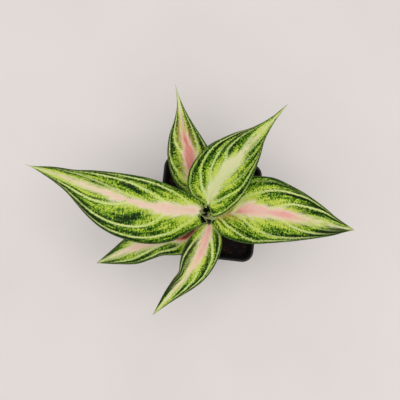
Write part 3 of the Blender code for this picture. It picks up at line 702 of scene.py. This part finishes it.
def vein_field(leaf, fractions, shares, half):
    """A count of veins from the margin inwards, whole on each pale vein, with their spacing and paleness."""
    starts = np.array(leaf["starts"]) / 100.0
    counts = np.arange(1, len(starts) + 1)
    rib_count = np.interp(fractions, [0.0, *starts, 1.0], [0.5, *counts, len(starts) + 1.0])
    field = np.zeros((len(fractions), len(shares)))
    strength = np.zeros_like(field)
    for columns, veins in ((shares < 0, leaf["left_veins"]), (shares >= 0, leaf["right_veins"])):
        lines, glow = [], []
        for start, (paleness, fade, *knots) in zip(leaf["starts"], veins):
            lines.append(along_leaf(((start, 0), *knots), fractions, 300))
            gained = 1.0 - VEIN_GAINS[0] + rise(VEIN_GAINS, fractions)
            glow.append(paleness / 100.0 * gained * (1.0 - rise(VEIN_FADES, fractions - fade / 100.0)))
        for row, fraction in enumerate(fractions):
            ways, levels, tones = [1.0], [0.0], [0.0]
            for index, start in enumerate(starts):
                if fraction > start:
                    ways.append(min(lines[index][row], ways[-1] - VEIN_GAP))
                    levels.append(index + 1.0)
                    tones.append(glow[index][row])
            ways.append(min(0.0, ways[-1] - VEIN_GAP))
            levels.append(rib_count[row])
            tones.append(tones[-1])
            field[row, columns] = np.interp(np.abs(shares[columns]), ways[::-1], levels[::-1])
            strength[row, columns] = np.interp(np.abs(shares[columns]), ways[::-1], tones[::-1])
    slope = np.abs(np.gradient(field, axis=1) / np.gradient(shares)[None, :])
    return field, np.clip(half / np.maximum(slope, 0.5), *VEIN_SPACING), strength


def band_field(leaf, fractions, shares, half):
    """Signed distance in millimetres beyond the pale band."""
    low = -along_leaf(leaf["band_left"], fractions)[:, None] * half[:, :1]
    high = along_leaf(leaf["band_right"], fractions)[:, None] * half[:, -1:]
    return np.abs(shares[None, :] * half - (low + high) / 2) - (high - low) / 2


def green_depth(leaf, run, shares, veins, from_vein, beyond):
    """How deep the green is, from 0 for yellow-green to 1 for nearly black."""
    reach = np.abs(shares)[None, :]
    depth = DEPTH_AT_BAND + rise(DEEPER_AWAY, beyond) + rise(DEEPER_OUTWARDS, reach)
    depth *= BASE_SHARE + rise(GAINED_ALONG, run)
    depth += BESIDE_VEIN * np.exp(-(from_vein - BESIDE_VEIN_AT) ** 2) * (beyond > 0)
    # Each strip between two veins is darkest towards the margin.
    depth += np.cos(2 * np.pi * (veins - STRIP_DEEPEST)) * rise(STRIP_SWING, beyond)
    depth += rise(NEAR_TIP, run) * ease(*NEAR_TIP_SIDES, reach)
    depth += rise(MARGIN_RIM, reach) * ease(*MARGIN_RIM_FROM, run)
    depth *= 1.0 - rise(LOST_AT_TIP, run)
    for patch in leaf["patches"]:
        place, side, long, wide, deeper = np.array(patch) / 100.0
        depth += deeper * np.exp(-((run - place) / long) ** 2 - ((shares[None, :] - side) / wide) ** 2)
    return depth


def node_level(rank):
    """Height where a leaf's sheath stands on the stem: the youngest is the highest."""
    return LOWEST_NODE + (len(LEAVES) - 1 - rank) * NODE_PITCH


def petiole_path(leaf, base, steps):
    """Line of the channel's bed from the node up to the blade, as a Bezier curve with its directions."""
    radial = heading(leaf["side"])
    inner = SHEATH_INNER + leaf["rank"] * SHEATH_PITCH
    foot = np.array([*STEM_AXIS, node_level(leaf["rank"])]) + inner * radial
    upright = np.array([0.0, 0.0, 1.0])
    climb = leaf["stay"] * (base[2] - foot[2])
    back, down = leaf["knee"]
    bend = base - back * heading(leaf["azimuth"]) - down * upright
    controls = (foot, foot + climb * upright, bend, base)
    path = []
    for step in steps:
        rest = 1.0 - step
        pulls = (rest * rest, 2 * rest * step, step * step)
        tangent = sum(pull * (end - start) for pull, start, end in zip(pulls, controls, controls[1:]))
        path.append((bezier(*controls, step), unit(tangent)))
    return path


def petiole_rings(leaf, base, slope, shares):
    """Upper and lower points of the sheath and the channelled petiole."""
    start_side = leaf["side"]
    end_side = math.degrees(math.atan2(slope[1], slope[0]))
    turn = (end_side - start_side + 180.0) % 360.0 - 180.0
    inner_radius = SHEATH_INNER + leaf["rank"] * SHEATH_PITCH
    clasp = math.radians(leaf["clasp"])
    steps = np.linspace(0.0, 1.0, PETIOLE_ROWS)
    uppers, lowers = [], []
    for step, (point, tangent) in zip(steps, petiole_path(leaf, base, steps)):
        outward = heading(start_side + turn * ease(*TURNS, step))
        outward = unit(outward - np.dot(outward, tangent) * tangent)
        sideways = np.cross(tangent, outward)
        radius = inner_radius + ease(*NARROWS, step) * (leaf["channel"] - inner_radius)
        half_angle = SHEATH_HALF_ANGLE + ease(*OPENS, step) * (PETIOLE_HALF_ANGLE - SHEATH_HALF_ANGLE)
        half_angle += ease(*CLASPS, step) * (clasp - PETIOLE_HALF_ANGLE)
        thicken = ease(*THICKENS, step)
        deepest = SHEATH_WALL + thicken * (PETIOLE_DEPTH - SHEATH_WALL)
        thinnest = SHEATH_WALL + thicken * (PETIOLE_EDGE - SHEATH_WALL)
        angles = shares * half_angle
        spokes = np.cos(angles)[:, None] * outward - np.sin(angles)[:, None] * sideways
        depth = thinnest + (deepest - thinnest) * np.cos(shares * np.pi / 2) ** 2
        # The clasping edges thin out like real sheath margins.
        depth = depth * (1.0 - MARGIN_THINS * ease(0.9, 1.0, np.abs(shares)))
        centre = point - radius * outward
        uppers.append(centre + radius * spokes)
        lowers.append(centre + (radius + depth)[:, None] * spokes)
    return np.array(uppers), np.array(lowers)


def join_rows(first, second, third, fourth, steps):
    """Rows between second and third that leave first and reach fourth smoothly."""
    leave = second + (second - first)
    reach = third - (fourth - third)
    return np.array([bezier(second, leave, reach, third, step) for step in steps])


def leaf_faces(ring_count, width):
    """Quads of the upper and lower faces, with margins and end caps."""
    size = 2 * width
    faces = []
    for ring in range(ring_count - 1):
        here, there = ring * size, (ring + 1) * size
        for column in range(width - 1):
            near, far = here + column, there + column
            faces.append((near, near + 1, far + 1, far))
            faces.append((near + width, far + width, far + width + 1, near + width + 1))
        faces.append((here, there, there + width, here + width))
        faces.append((here + width - 1, here + size - 1, there + size - 1, there + width - 1))
    final = (ring_count - 1) * size
    for column in range(width - 1):
        faces.append((column, column + width, column + width + 1, column + 1))
        faces.append((final + column, final + column + 1, final + width + column + 1, final + width + column))
    return faces


def sculpt_blade(leaf, fractions, shares, from_vein):
    """Upper and lower points of the blade and the rib's directions. The veins are sunk and the tissue between
    them quilted up, and the rib has a groove over it and a keel under it."""
    upper, half = blade_surface(leaf, fractions, shares)
    run, reach = fractions[:, None], np.abs(shares)[None, :]
    from_rib = reach * half
    relief = -VEIN_DEPTH * np.exp(-(from_vein / VEIN_WIDTH) ** 2)
    relief += QUILT_RISE * np.sin(np.pi * np.clip(from_vein / QUILT_SPREAD, 0.0, 1.0))
    fade = np.sin(np.pi * run) * (1.0 - reach ** 6) * ease(0.0, 0.12, reach)
    groove = GROOVE_DEPTH * np.exp(-(from_rib / GROOVE_WIDTH) ** 2) * (1.0 - run) ** 0.5
    upper[..., 2] += relief * fade - groove

    ribs_ahead, _ = blade_surface(leaf, np.minimum(fractions + RIB_STEP, 1.0), np.array([0.0]))
    ribs_behind, _ = blade_surface(leaf, fractions - RIB_STEP, np.array([0.0]))
    tangents = (ribs_ahead - ribs_behind)[:, 0, :]
    tangents /= np.linalg.norm(tangents, axis=1)[:, None]
    above = np.array([0.0, 0.0, 1.0]) - tangents[:, 2:] * tangents
    above /= np.linalg.norm(above, axis=1)[:, None]
    keel = RIB_DEPTH * (1.0 - run) ** 0.8 * np.exp(-(from_rib / (RIB_WIDTH * (1.15 - run))) ** 2)
    rounding = np.sqrt(1.0 - reach ** 10)
    thick = EDGE_THICK + (BLADE_THICK - EDGE_THICK) * rounding * (1.0 - rise(TIP_THINS, run))
    return upper, upper - (thick + keel)[..., None] * above[:, None, :], tangents


def leaf_rings(leaf, shares, upper, lower, tangents):
    """Sheath, petiole, knee and blade as one row of rings, each with its upper and lower points."""
    start, ahead = blade_surface(leaf, np.array([0.0, 2 * RIB_STEP]), np.array([0.0]))[0][:, 0]
    stalk_upper, stalk_lower = petiole_rings(leaf, start, unit(ahead - start), shares)
    knee = np.linspace(0.0, 1.0, KNEE_ROWS + 2)[1:-1]
    middle = len(shares) // 2
    stretch = KNEE_PULL * np.linalg.norm(upper[0, middle] - stalk_upper[-1, middle])
    joined = []
    for stalk, blade in ((stalk_upper, upper), (stalk_lower, lower)):
        leave = stalk[-1] - stretch * unit(stalk[-1, middle] - stalk[-2, middle])
        onward = blade[0] + stretch * tangents[0]
        joined.append(np.concatenate([stalk, join_rows(leave, stalk[-1], blade[0], onward, knee), blade]))
    return np.stack(joined, axis=1)


def build_leaf(name, leaf, material):
    """One leaf, from its sheath to its tip, with the places of its markings stored for the leaf material.

    veins   count of veins, their spacing in mm, their paleness
    zones   mm beyond the band, pinkness with painted shade at its top, depth of the green
    place   mm across the veins, mm along the leaf, mm from the margin
    tissue  1 on the upper face, 1 on the stalk falling to 0 on the blade and below 0 at the drip tip, a seed
    """
    shares = np.linspace(-1.0, 1.0, leaf["columns"])
    steps = np.linspace(0.0, 1.0, leaf["rows"])
    fractions = FIRST_FRACTION + (TIP_FRACTION - FIRST_FRACTION) * steps
    half = blade_surface(leaf, fractions, shares)[1]
    veins, spacing, paleness = vein_field(leaf, fractions, shares, half)
    from_vein = np.abs(veins - np.round(veins)) * spacing
    rings = leaf_rings(leaf, shares, *sculpt_blade(leaf, fractions, shares, from_vein))
    ring_count, width = rings.shape[0], len(shares)
    thing = add_mesh("aglaonema_" + name, rings.reshape(-1, 3), leaf_faces(ring_count, width), material)

    narrow = np.clip(half / FULL_HALF, LEAST_NARROW, 1.0)
    beyond = band_field(leaf, fractions, shares, half) / narrow
    # Pinkness of the band; its top values paint red-brown shade on bases that lie under other leaves.
    pink_and_shade = np.broadcast_to(along_leaf(leaf["pink_and_shade"], fractions)[:, None], beyond.shape)
    depth = green_depth(leaf, fractions[:, None], shares, veins, from_vein, beyond)
    # A pale vein is twice as wide where it leaves the band.
    flare = 1.0 + 1.1 * np.exp(-np.clip(beyond, 0.0, None) / 4.0)
    edge = (1.0 - np.abs(shares)[None, :]) * half / narrow

    # The sheath and petiole carry on the blade's first row.
    extra = ring_count - len(fractions)
    along = np.concatenate([np.linspace(-STALK_LENGTH, 0.0, extra), fractions * leaf["length"]])
    knee = 1.0 - 0.999 * np.linspace(0.0, 1.0, KNEE_ROWS + 2)[1:-1]
    stalk = np.concatenate([np.ones(extra - KNEE_ROWS), ease(0.25, 1.0, knee), -ease(0.95, 1.0, fractions)])
    fields = {
        "veins": (veins, np.hypot(spacing / flare, LEAST_PITCH), paleness),
        "zones": (beyond, pink_and_shade, depth),
        "place": (veins * np.median(spacing), None, edge),
    }
    for field_name, parts in fields.items():
        whole = [np.repeat(along[:, None], width, axis=1) if part is None
                 else np.concatenate([np.repeat(part[:1], extra, axis=0), part]) for part in parts]
        store_field(thing.data, field_name, np.stack([np.stack(whole, -1)] * 2, axis=1))
    on_upper = np.stack([np.ones((ring_count, width)), np.zeros((ring_count, width))], axis=1)
    stalks = np.broadcast_to(stalk[:, None, None], on_upper.shape)
    seeds = np.full(on_upper.shape, SEED_STEP * leaf["rank"])
    store_field(thing.data, "tissue", np.stack([on_upper, stalks, seeds], axis=-1))
    hand_over(thing, "leaf", name)


def store_field(mesh, name, values):
    attribute = mesh.attributes.new(name, "FLOAT_VECTOR", "POINT")
    attribute.data.foreach_set("vector", np.asarray(values, np.float32).ravel())


# Pot, soil and stem

def ring_of(radius, level, sides, centre=(0.0, 0.0)):
    """Points of a level circle, anticlockwise from above."""
    x, y = centre
    turns = [2 * math.pi * side / sides for side in range(sides)]
    return [(x + radius * math.cos(turn), y + radius * math.sin(turn), level) for turn in turns]


def rounded_square(side, corner, height):
    """Corners of a rounded square ring, anticlockwise from above."""
    middle = side / 2 - corner
    ring = []
    for quarter in range(4):
        centre_angle = math.pi / 4 + quarter * math.pi / 2
        centre_x = math.copysign(middle, math.cos(centre_angle))
        centre_y = math.copysign(middle, math.sin(centre_angle))
        for step in range(CORNER_STEPS + 1):
            angle = quarter * math.pi / 2 + step / CORNER_STEPS * math.pi / 2
            ring.append((centre_x + corner * math.cos(angle), centre_y + corner * math.sin(angle), height))
    return ring


def wall_at(height, inset):
    """Side and corner radius of the tapered wall at a height, moved in by inset."""
    share = height / POT_HEIGHT
    side = BASE_SIDE + share * (RIM_SIDE - 2 * LIP_OUT - BASE_SIDE)
    corner = BASE_CORNER + share * (RIM_CORNER - LIP_OUT - BASE_CORNER)
    step = STEP_IN if height < STEP_LEVEL else 0.0
    return side - 2 * (inset + step), corner - inset - step


def wall_ring(height, inset, level=None):
    """The wall's outline at a height, drawn at that height or at another level."""
    side, corner = wall_at(height, inset)
    return rounded_square(side, corner, height if level is None else level)


def rim_ring(inset, level):
    """The lip's outline, moved in by inset."""
    return rounded_square(RIM_SIDE - 2 * inset, RIM_CORNER - inset, level)


def add_tube(name, rings, material, smooth_angle=180.0):
    """A closed tube through rings of points, with a flat cap at each end."""
    sides = len(rings[0])
    last = (len(rings) - 1) * sides
    faces = [tuple(reversed(range(sides)))]
    for low in range(0, last, sides):
        for side in range(sides):
            following = (side + 1) % sides
            faces.append((low + side, low + following, low + sides + following, low + sides + side))
    faces.append(tuple(range(last, last + sides)))
    return add_mesh(name, sum(rings, []), faces, material, smooth_angle)


def build_pot(material):
    """The tapered shell with a rounded lip, a stacking step and four drain holes."""
    lip_foot = POT_HEIGHT - LIP_HEIGHT
    lip_inner = POT_WALL + LIP_ROUND
    inner_edge = LIP_ROUND * 0.5
    floor_edge = FLOOR_THICK + FOOT_BEVEL
    rings = [wall_ring(height, inset) for height, inset in (
        (0.0, FOOT_BEVEL), (0.3 * FOOT_BEVEL, 0.3 * FOOT_BEVEL), (FOOT_BEVEL, 0.0), (STEP_UNDER, 0.0),
        (STEP_OVER, 0.0), (lip_foot - LIP_ROUND, 0.0))]
    rings += [rim_ring(LIP_ROUND / 2, lip_foot), rim_ring(0.0, lip_foot + LIP_ROUND)]
    for turn in range(5):
        angle = turn / 4 * math.pi / 2
        inward, upward = LIP_ROUND * (1.0 - math.cos(angle)), LIP_ROUND * math.sin(angle)
        rings.append(rim_ring(inward, POT_HEIGHT - LIP_ROUND + upward))
    rings += [
        rim_ring(lip_inner - inner_edge, POT_HEIGHT),
        rim_ring(lip_inner, POT_HEIGHT - inner_edge),
        wall_ring(POT_HEIGHT - 2.0, POT_WALL),
        wall_ring(STEP_OVER, POT_WALL, STEP_OVER + GAP),
        wall_ring(STEP_UNDER, POT_WALL, STEP_UNDER - GAP),
        wall_ring(floor_edge, POT_WALL),
        wall_ring(floor_edge, POT_WALL + FOOT_BEVEL, FLOOR_THICK),
    ]
    pot = add_tube("square_nursery_pot", rings, material, 35.0)
    drills = []
    for x in (-DRAIN_OFFSET, DRAIN_OFFSET):
        for y in (-DRAIN_OFFSET, DRAIN_OFFSET):
            ends = [ring_of(DRAIN_RADIUS, level, DRAIN_SIDES, (x, y)) for level in (-2.0, 2.0 + FLOOR_THICK)]
            drills.append(add_tube("drain_drill", ends, material))
            cut = pot.modifiers.new("drain_hole", "BOOLEAN")
            cut.operation = "DIFFERENCE"
            cut.object = drills[-1]
    keep_result(pot)
    for drill in drills:
        bpy.data.objects.remove(drill, do_unlink=True)
    hand_over(pot, "pot", "pot")


def keep_result(thing):
    """The evaluated mesh takes the place of the object's own, and its modifiers go."""
    depsgraph = bpy.context.evaluated_depsgraph_get()
    result = bpy.data.meshes.new_from_object(thing.evaluated_get(depsgraph))
    thing.modifiers.clear()
    thing.data = result


def bumps(*place):
    """Smooth noise from -1 to 1."""
    return noise.noise(Vector(place))


def soil_level(x, y):
    """Height of the lumpy soil surface, with crumbs of a few millimetres on it."""
    lumps = (math.sin(0.31 * x + 0.9) * math.cos(0.27 * y - 0.4)
             + 0.6 * math.sin(0.63 * x - 0.52 * y + 2.0)
             + 0.4 * math.cos(0.47 * x + 0.83 * y + 0.6))
    mound = SOIL_MOUND * math.exp(-(x * x + y * y) / MOUND_SPREAD ** 2)
    crumbs = 0.5 * bumps(0.7 * x, 0.7 * y, 3.0) + 0.3 * bumps(1.6 * x, 1.6 * y, 8.0)
    return SOIL_HEIGHT + mound + SOIL_LUMP * lumps + crumbs


def square_reach(side, corner, angle):
    """Distance from the centre of a rounded square to its edge, along an angle."""
    near, far = sorted((abs(math.cos(angle)), abs(math.sin(angle))))
    middle = side / 2 - corner
    if near / far * side / 2 <= middle:
        return side / 2 / far
    return middle * (near + far) + math.sqrt(corner ** 2 - (middle * (near - far)) ** 2)


def soil_wall(height, inset, level):
    """The wall's outline with its points at even angles, as the soil's rings need them."""
    side, corner = wall_at(height, inset)
    turns = [2 * math.pi * index / SOIL_SIDES for index in range(SOIL_SIDES)]
    reaches = [square_reach(side, corner, turn) for turn in turns]
    return [(reach * math.cos(turn), reach * math.sin(turn), level) for reach, turn in zip(reaches, turns)]


def stem_radius():
    """The cane is as wide as the outermost sheath that stands on it."""
    return SHEATH_INNER + (len(LEAVES) - 1) * SHEATH_PITCH + SHEATH_WALL


def build_soil(material):
    """The block of soil, lumpy on top, with a hole for the cane. Only its top is open to litter."""
    floor = FLOOR_THICK + GAP
    inset = POT_WALL + GAP
    hole = stem_radius() + HOLE_CLEARANCE
    rings = [
        soil_wall(floor + 1.0, inset + 1.0, floor),
        soil_wall(floor + 1.0, inset, floor + 1.0),
        soil_wall(STEP_UNDER, inset, STEP_UNDER - 2 * GAP),
        soil_wall(STEP_OVER, inset, STEP_OVER + 2 * GAP),
    ]
    rim = soil_wall(SOIL_HEIGHT, inset, SOIL_HEIGHT)
    rings.append([(x, y, SOIL_HEIGHT - SOIL_SINK + 0.6 * bumps(0.4 * x, 0.4 * y, 1.0)) for x, y, _ in rim])
    for index in range(1, SOIL_RINGS + 1):
        share = index / SOIL_RINGS
        ring = []
        for x, y, _ in rim:
            angle = math.atan2(y, x)
            across = x + share * (STEM_AXIS[0] + hole * math.cos(angle) - x)
            up = y + share * (STEM_AXIS[1] + hole * math.sin(angle) - y)
            sink = SOIL_SINK * (1.0 - ease(0.0, 0.1, share))
            ring.append((across, up, soil_level(across, up) - sink))
        rings.append(ring)
    rings.append([(x, y, STEM_FOOT - GAP) for x, y, _ in rings[-1]])
    soil = add_tube("potting_soil", rings, material)
    top = np.zeros(len(rings) * SOIL_SIDES, np.float32)
    top[7 * SOIL_SIDES:(len(rings) - 2) * SOIL_SIDES] = 1.0
    soil.data.attributes.new("open_surface", "FLOAT", "POINT").data.foreach_set("value", top)
    hand_over(soil, "soil", "soil")
    return soil


def build_stem(material):
    """The short cane: a scar low down, then a shoulder for each sheath, all a little uneven."""
    full = stem_radius()
    profile = [(STEM_FOOT, full - 1.5), (STEM_FOOT + 1.5, full)]
    profile += [(level, full) for level in np.linspace(STEM_FOOT + 3.0, SCAR_LEVEL - SCAR_WIDTH, 14)]
    for turn in range(1, 8):
        level = SCAR_LEVEL - SCAR_WIDTH + turn * SCAR_WIDTH / 4
        profile.append((level, full - SCAR_DEPTH * math.sin(math.pi * turn / 8) ** 2))
    profile.append((LOWEST_NODE - GAP, full))
    for rank in reversed(range(len(LEAVES))):
        level = node_level(rank) - GAP
        radius = SHEATH_INNER + rank * SHEATH_PITCH - GAP
        profile += [(level + SHOULDER_RISE, radius), (level + NODE_PITCH, radius)]
    profile.append((profile[-1][0] + 1.0, SHEATH_INNER - 2 * GAP))
    rings = []
    for level, radius in profile:
        ring = []
        for x, y, _ in ring_of(1.0, level, STEM_SIDES):
            dented = radius - 0.1 * (1.0 + bumps(2 * x, 2 * y, 0.3 * level))
            ring.append((STEM_AXIS[0] + dented * x, STEM_AXIS[1] + dented * y, level))
        rings.append(ring)
    hand_over(add_tube("short_cane", rings, material, 40.0), "stem", "stem")


# Crumbs and fibres scattered over the soil by Geometry Nodes

def crumb_shape(name, sizes, roughness, seed, material):
    """A broken lump of about forty faces, one millimetre across before it is scaled."""
    rows, sides = 5, 6
    points = [(0.0, 0.0, -0.5)]
    for row in range(1, rows):
        tilt = math.pi * row / rows
        points += ring_of(0.5 * math.sin(tilt), -0.5 * math.cos(tilt), sides)
    points.append((0.0, 0.0, 0.5))
    shaped = []
    for x, y, z in points:
        bulge = 1.0 + roughness * bumps(3 * x + seed, 3 * y, 3 * z)
        shaped.append((x * bulge * sizes[0], y * bulge * sizes[1], z * bulge * sizes[2]))
    faces = []
    last = len(points) - 1
    for side in range(sides):
        following = (side + 1) % sides
        faces.append((0, 1 + following, 1 + side))
        faces.append((last, last - sides + side, last - sides + following))
        for row in range(rows - 2):
            low = 1 + row * sides
            faces.append((low + side, low + following, low + sides + following, low + sides + side))
    return add_mesh(name, shaped, faces, material, 40.0)


def fibre_shape(name, length, thick, material):
    """A bent fibre: a four-sided tube of six lengths."""
    turns = [math.pi / 2 * side for side in range(4)]
    rings = []
    for step in range(7):
        share = step / 6
        x = length * (share - 0.5)
        y = 0.22 * length * math.sin(math.pi * share)
        z = 0.1 * length * math.sin(5 * share)
        radius = 0.5 * thick * (1.0 - 0.6 * abs(2 * share - 1.0))
        rings.append([(x, y + radius * math.cos(turn), z + radius * math.sin(turn)) for turn in turns])
    return add_tube(name, rings, material)


def scatter_tree(material):
    """Geometry Nodes: one shape strewn over the open surface, by density, size range, depth and seed."""
    tree = bpy.data.node_groups.new("strewn_on_soil", "GeometryNodeTree")
    add = functools.partial(add_node, tree)
    for name, kind in {"Geometry": "Geometry", "Shape": "Object", "Density per square metre": "Float",
                       "Smallest": "Float", "Largest": "Float", "Sink": "Float", "Seed": "Int"}.items():
        tree.interface.new_socket(name, in_out="INPUT", socket_type="NodeSocket" + kind)
    tree.interface.new_socket("Geometry", in_out="OUTPUT", socket_type="NodeSocketGeometry")
    given = tree.nodes.new("NodeGroupInput").outputs
    surface = add("GeometryNodeInputNamedAttribute", "open_surface", data_type="FLOAT")
    chosen = add("FunctionNodeCompare", surface, 0.9, operation="GREATER_THAN")
    strewn = add("GeometryNodeDistributePointsOnFaces", {
        "Mesh": given["Geometry"], "Selection": chosen, "Density": given["Density per square metre"],
        "Seed": given["Seed"]})
    turned = add("FunctionNodeRandomValue", {
        0: (-0.5, -0.5, 0.0), 1: (0.5, 0.5, 6.283), "Seed": given["Seed"]}, data_type="FLOAT_VECTOR")
    size = add("FunctionNodeRandomValue", {
        2: given["Smallest"], 3: given["Largest"], "Seed": given["Seed"]}, data_type="FLOAT").node.outputs[1]
    shape = add("GeometryNodeObjectInfo", {"Object": given["Shape"]}).node.outputs["Geometry"]
    down = add(JOIN, 0.0, 0.0, given["Sink"])
    lowered = add("GeometryNodeSetPosition", {"Geometry": strewn, "Offset": down})
    copies = add("GeometryNodeInstanceOnPoints", {
        "Points": lowered, "Instance": shape, "Rotation": turned, "Scale": size})
    painted = add("GeometryNodeSetMaterial", {
        "Geometry": add("GeometryNodeRealizeInstances", copies), "Material": material})
    tree.links.new(painted, tree.nodes.new("NodeGroupOutput").inputs["Geometry"])
    return tree


def strew(name, soil, shape, density, smallest, largest, sink, seed):
    """Scatters a shape over the soil, so many to the square metre, and keeps the result as a plain mesh."""
    carrier = bpy.data.objects.new(name, soil.data.copy())
    bpy.context.collection.objects.link(carrier)
    modifier = carrier.modifiers.new("strewn", "NODES")
    modifier.node_group = scatter_tree(shape.data.materials[0])
    values = {"Shape": shape, "Density per square metre": density, "Smallest": smallest, "Largest": largest,
              "Sink": sink * MM, "Seed": seed}
    for item in modifier.node_group.interface.items_tree:
        if item.in_out == "INPUT" and item.name in values:
            modifier[item.identifier] = values[item.name]
    keep_result(carrier)
    carrier.data.name = name
    hand_over(carrier, "soil")
    bpy.data.objects.remove(shape, do_unlink=True)


def build_soil_litter(soil):
    """Dark peat crumbs, red-brown chips of bark and pale coir strands, loose on the soil."""
    peat_tones = ("090506", "130B0C", "281A1C")
    bark_tones = ("1E0F0B", "321A14", "4A291E")
    coir_tones = ("241610", "3A261A", "553D2B")
    peat = crumbly_material("dark_peat_crumbs", peat_tones, grain_mm=0.7)
    bark = crumbly_material("red_brown_bark_chips", bark_tones, grain_mm=1.2, roughness=0.85)
    coir = crumbly_material("coir_fibres", coir_tones, grain_mm=1.0, roughness=0.8)
    round_crumb = crumb_shape("round_crumb", (1.0, 0.85, 0.7), roughness=0.9, seed=1.3, material=peat)
    flat_chip = crumb_shape("flat_chip", (1.5, 0.8, 0.32), roughness=0.8, seed=6.1, material=bark)
    fibre = fibre_shape("fibre", length=5.0, thick=0.22, material=coir)
    strew("peat_crumbs", soil, round_crumb, density=420000.0, smallest=0.7, largest=2.0, sink=-0.1, seed=4)
    strew("bark_chips", soil, flat_chip, density=42000.0, smallest=1.0, largest=2.4, sink=0.15, seed=11)
    strew("coir_strands", soil, fibre, density=26000.0, smallest=0.7, largest=1.4, sink=0.35, seed=23)


# Camera, light and floor

def add_camera():
    """The camera looks straight down, turned as the photograph shows the pot."""
    camera = bpy.data.cameras.new("overhead_camera")
    camera.lens = CAMERA_LENS
    camera.sensor_width = CAMERA_SENSOR
    camera.clip_start = 0.01
    camera.clip_end = 20.0
    holder = bpy.data.objects.new("overhead_camera", camera)
    holder.location = [value * MM for value in CAMERA_PLACE]
    holder.rotation_euler = (0.0, 0.0, math.radians(CAMERA_ROLL))
    bpy.context.collection.objects.link(holder)
    bpy.context.scene.camera = holder


def add_surroundings():
    """An even pale sky, one far light as wide as a large window, and the floor."""
    world = bpy.data.worlds.new("studio")
    world.use_nodes = True
    feed(world.node_tree, world.node_tree.nodes["Background"], {"Color": "F6F4F2", "Strength": SKY_STRENGTH})
    bpy.context.scene.world = world
    light = bpy.data.lights.new("window_light", "SUN")
    light.angle = math.radians(LIGHT_SPREAD)
    light.energy = LIGHT_STRENGTH
    light.color = linear_colour("FFFCF8")[:3]
    holder = bpy.data.objects.new("window_light", light)
    holder.rotation_euler = Vector(LIGHT_FROM).to_track_quat("Z", "Y").to_euler()
    bpy.context.collection.objects.link(holder)
    corners = [(x * FLOOR_REACH, y * FLOOR_REACH, 0.0) for x, y in ((-1, -1), (1, -1), (1, 1), (-1, 1))]
    add_mesh("studio_floor", corners, [(0, 1, 2, 3)], floor_material())
    bpy.context.scene.view_settings.view_transform = "Standard"


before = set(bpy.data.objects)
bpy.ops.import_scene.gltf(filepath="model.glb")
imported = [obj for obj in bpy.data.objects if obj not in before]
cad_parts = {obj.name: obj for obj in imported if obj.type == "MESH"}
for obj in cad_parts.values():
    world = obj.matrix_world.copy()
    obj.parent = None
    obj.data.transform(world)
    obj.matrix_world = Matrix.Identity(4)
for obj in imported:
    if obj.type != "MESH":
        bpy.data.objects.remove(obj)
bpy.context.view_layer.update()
add_camera()
add_surroundings()
build_pot(pot_material())
soil_finish = crumbly_material("peat_potting_soil", ("070405", "0E080A", "1A1012"), grain_mm=0.9)
build_soil_litter(build_soil(soil_finish))
build_stem(cane_material())
leaf_finish = leaf_material()
for leaf_name, leaf_table in LEAVES.items():
    build_leaf(leaf_name, leaf_table, leaf_finish)
